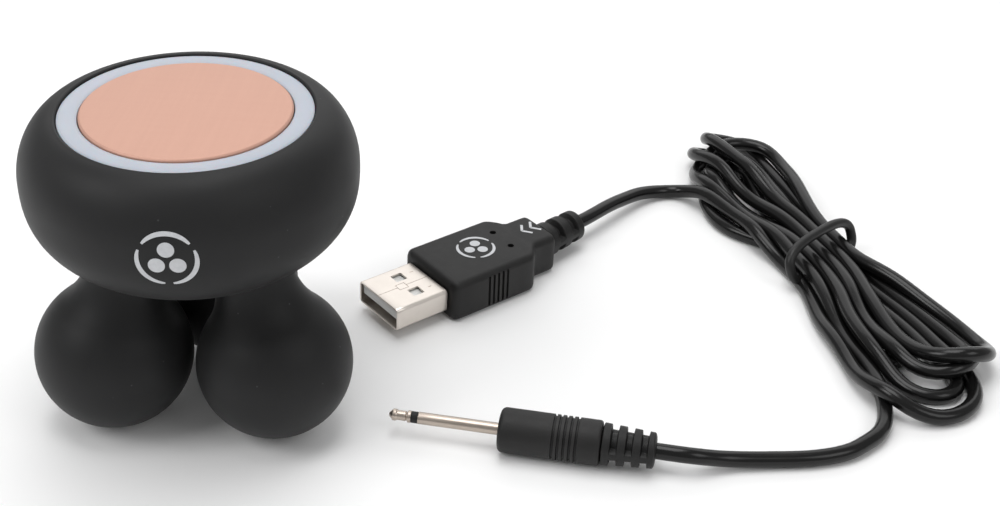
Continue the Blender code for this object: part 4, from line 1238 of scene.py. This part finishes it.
def loop_points(first, second, runs, sides, heights, bulge, bows):
    """Points of one loop of the hank: out from a slot, round its fold, and back to a slot."""
    out = side_points(first, runs[0], sides[0], heights[0], bows[0])
    back = side_points(second, runs[1], sides[1], heights[1], bows[1])
    start, end = out[-1], back[-1]
    middle = (start + end) / 2
    half = (start - end) / 2
    away = Vector((1.0 if runs[0] > 0 else -1.0, 0.0, 0.0))
    away = (away - half * away.dot(half) / half.length_squared).normalized() * half.length * bulge
    fold = []
    for i in range(1, 8):
        turn = math.pi * i / 8
        fold.append(middle + half * math.cos(turn) + away * math.sin(turn))
    return out + fold + back[::-1]


def hank_to_row(point):
    """From the hank's own axes to the row frame."""
    c, s = math.cos(HANK_YAW), math.sin(HANK_YAW)
    along, across, z = point
    return (HANK_CENTRE[0] + c * along - s * across, HANK_CENTRE[1] + s * along + c * across, z)


def smooth_line(points, spacing):
    """Points at an even spacing on a smooth curve through the given ones."""
    points = np.array([tuple(p) for p in points], float)
    ends = np.vstack([2 * points[0] - points[1], points, 2 * points[-1] - points[-2]])
    line = []
    for p0, p1, p2, p3 in zip(ends, ends[1:], ends[2:], ends[3:]):
        for t in np.linspace(0, 1, 12, endpoint=False):
            bend = 2 * p0 - 5 * p1 + 4 * p2 - p3
            twist = 3 * p1 - p0 - 3 * p2 + p3
            line.append(0.5 * (2 * p1 + (p2 - p0) * t + bend * t**2 + twist * t**3))
    line.append(points[-1])
    line = np.array(line)
    run = np.r_[0, np.cumsum(np.linalg.norm(np.diff(line, axis=0), axis=1))]
    count = int(round(run[-1] / spacing))
    even = np.linspace(0, run[-1], count + 1)
    return np.column_stack([np.interp(even, run, line[:, k]) for k in range(3)])


def settle(line, first_free, last_free, rounds=400):
    """Let the cable's points rest on the floor and on each other without passing through.

    Each round pushes touching stretches apart, lets the cable sink a little, and evens out its
    curve. The first and the last points, which lie in the plugs' reliefs, are held.
    """
    start = line.copy()
    count = len(line)
    index = np.arange(count)
    apart = np.abs(index[:, None] - index[None, :]) > 5
    held = np.zeros(count, bool)
    held[:first_free] = True
    held[last_free:] = True
    reach = CABLE_DIAMETER * 1.01
    for step in range(rounds):
        sinking = step < rounds * SINK_SHARE
        delta = line[:, None, :] - line[None, :, :]
        gap = np.sqrt((delta**2).sum(2))
        i, j = np.nonzero(apart & (gap < reach))
        if len(i):
            push = np.zeros_like(line)
            distance = np.maximum(gap[i, j][:, None], 1e-6)
            np.add.at(push, i, delta[i, j] / distance * (reach - distance) * 0.5)
            hits = np.bincount(i, minlength=count)[:, None]
            line = line + push / np.maximum(hits, 1) * 1.2
        if sinking:
            line[:, 2] -= SINK_STEP
        line[:, :2] += (start[:, :2] - line[:, :2]) * PULL_BACK
        for share in STIFF_STEPS if sinking else STIFF_STEPS[:2]:
            bent = line.copy()
            bent[1:-1] = (line[:-2] + line[2:]) / 2
            line = line + (bent - line) * share
        line[:, 2] = np.maximum(line[:, 2], CABLE_DIAMETER / 2)
        line[held] = start[held]
    return line


def cable_line():
    """The cable's centre line from the USB plug through the hank to the pin plug."""
    relief = USB_RELIEF_END - USB_BODY_END - GAP
    route = [usb_relief_place() @ Vector((relief - CABLE_IN_RELIEF, 0.0, 0.0))]
    route.append(usb_relief_place() @ Vector((relief + 1.5 * CABLE_DIAMETER, 0.0, 0.0)))
    route += list(USB_RUN)
    free_start = len(smooth_line(route, LINE_SPACING)) - 4
    route += [hank_to_row(p) for p in USB_ENTRY]
    for i, loop in enumerate(LOOPS):
        route += [hank_to_row(p) for p in loop_points(PASSES[i], PASSES[i + 1], **loop)]
    route += [hank_to_row(p) for p in JACK_LEAVE]
    tail = list(JACK_RUN)
    tail.append(jack_place() @ Vector((JACK_RELIEF_END + 2 * CABLE_DIAMETER, 0.0, 0.0)))
    tail.append(jack_place() @ Vector((JACK_RELIEF_END - CABLE_IN_RELIEF, 0.0, 0.0)))
    free_end = len(smooth_line(tail, LINE_SPACING)) - 6
    line = smooth_line(route + tail, LINE_SPACING)
    return settle(line, free_start, len(line) - free_end)


def curve_object(name, line, radius, cyclic=False):
    """A round cord along the given points, in metres."""
    curve = bpy.data.curves.new(name, "CURVE")
    curve.dimensions = "3D"
    curve.bevel_depth = radius
    curve.bevel_resolution = 8
    curve.use_fill_caps = not cyclic
    spline = curve.splines.new("POLY")
    spline.points.add(len(line) - 1)
    for knot, spot in zip(spline.points, line):
        knot.co = (spot[0], spot[1], spot[2], 1.0)
    spline.use_cyclic_u = cyclic
    spline.use_smooth = True
    return new_object(name, curve)


def make_cable(finish):
    """The cable: one line from plug to plug, wound as a hank."""
    line = cable_line() * MM
    cable = curve_object("charging_cable", line, CABLE_DIAMETER / 2 * MM)
    cable.data.materials.append(finish)
    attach(cable, "charging_lead")
    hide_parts("cable_usb_run", "cable_hank", "cable_jack_run")


def make_tie(finish):
    """Round rubber ring, pulled to an oval by the cable it holds."""
    centre = TIE_WIRE_RADIUS + TIE_HALF_HEIGHT
    turn = Matrix.Rotation(HANK_YAW + TIE_YAW, 4, "Z")
    even = []
    for i in range(72):
        angle = math.tau * i / 72
        c, h = math.cos(angle), math.sin(angle)
        across = TIE_HALF_WIDTH * math.copysign(abs(c) ** TIE_SQUARENESS, c)
        rise = TIE_HALF_HEIGHT * math.copysign(abs(h) ** TIE_SQUARENESS, h)
        even.append(Vector((TIE_SHIFT[0] - TIE_LEAN * rise, across + TIE_SHIFT[1], centre + rise)))
    spot = Vector((HANK_CENTRE[0], HANK_CENTRE[1], 0.0))
    line = [(turn @ point + spot) * MM for point in even]
    ring = curve_object("tie_ring", line, TIE_WIRE_RADIUS * MM, cyclic=True)
    ring.data.materials.append(finish)
    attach(ring, "charging_lead")
    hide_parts("cable_tie")
    return ring


# ---------------------------------------------------------------- carried-over CAD nodes


def finish_inner_nodes():
    """Give the CAD nodes that stay their detailed materials."""
    finishes = {
        "grey_housing": housing_plastic(),
        "green_board": circuit_board(),
        "white_led": led_lens(),
        "battery_foil": battery_foil(),
        "motor_steel": drawn_metal("motor_steel_drawn", (0.42, 0.42, 0.43), (0.62, 0.62, 0.63), 5000.0),
        "weight_brass": drawn_metal("weight_brass_turned", (0.48, 0.36, 0.15), (0.66, 0.52, 0.25), 4000.0),
        "nickel": nickel("switch_nickel", (0.60, 0.56, 0.52), (0.70, 0.66, 0.61)),
        "white_plastic": tongue_plastic(),
        "black_plug": plug_plastic(),
    }
    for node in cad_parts.values():
        for slot in node.material_slots:
            wanted = slot.material.name.split(".")[0] if slot.material else ""
            if wanted in finishes:
                slot.material = finishes[wanted]
    return finishes


# ---------------------------------------------------------------- floor and light


def make_floor():
    """Plain pale floor."""
    builder = bmesh.new()
    bmesh.ops.create_grid(builder, x_segments=2, y_segments=2, size=4.0)
    mesh = bpy.data.meshes.new("floor")
    builder.to_mesh(mesh)
    builder.free()
    mesh.materials.append(floor_paper())
    floor = new_object("floor", mesh, Matrix.Translation((0.0, 0.0, -FLOOR_DROP)))


def area_light(name, place, aim, size, power):
    """A rectangular softbox."""
    data = bpy.data.lights.new(name, "AREA")
    data.shape = "RECTANGLE"
    data.size, data.size_y = size
    data.energy = power
    lamp = new_object(name, data)
    lamp.location = place
    lamp.rotation_euler = (Vector(aim) - Vector(place)).to_track_quat("-Z", "Y").to_euler()


def make_light():
    """Bright even surroundings with a softbox on each side and one behind."""
    world = bpy.data.worlds.new("world")
    world.use_nodes = True
    background = world.node_tree.nodes["Background"]
    background.inputs["Color"].default_value = (1.0, 1.0, 1.0, 1.0)
    background.inputs["Strength"].default_value = 0.38
    bpy.context.scene.world = world
    bpy.context.scene.view_settings.view_transform = "Standard"
    area_light("top", (0.0, 0.05, 0.62), (0.05, 0.03, 0.0), (0.45, 0.35), 1.9)
    area_light("key", (-0.40, -0.22, 0.45), (0.03, 0.0, 0.02), (0.30, 0.30), 1.3)
    area_light("fill", (0.50, -0.28, 0.45), (0.06, 0.0, 0.02), (0.30, 0.30), 0.6)
    area_light("back", (0.05, 0.70, 0.48), (0.05, 0.03, 0.0), (1.2, 0.6), 2.4)


# ---------------------------------------------------------------- the scene


def main():
    """Build the looks."""
    make_camera()
    finishes = finish_inner_nodes()
    skin = silicone()
    ink = print_ink()
    metal = nickel("plug_nickel", (0.66, 0.61, 0.56), (0.76, 0.705, 0.65))
    pin_metal = nickel("pin_nickel", (0.42, 0.36, 0.31), (0.54, 0.47, 0.41))
    plug = finishes["black_plug"]
    tie = make_tie(tie_rubber())
    make_head(skin)
    make_balls(skin)
    make_button(skin)
    make_top(rose_plate(), milky_ring())
    make_head_mark(ink)
    make_usb_shell(metal)
    make_usb_tongue(finishes["white_plastic"], finishes["weight_brass"])
    make_usb_body(plug)
    make_usb_marks(ink)
    make_reliefs(plug)
    make_jack(pin_metal, plug, plug)
    make_cable(cable_jacket())
    make_floor()
    make_light()


main()
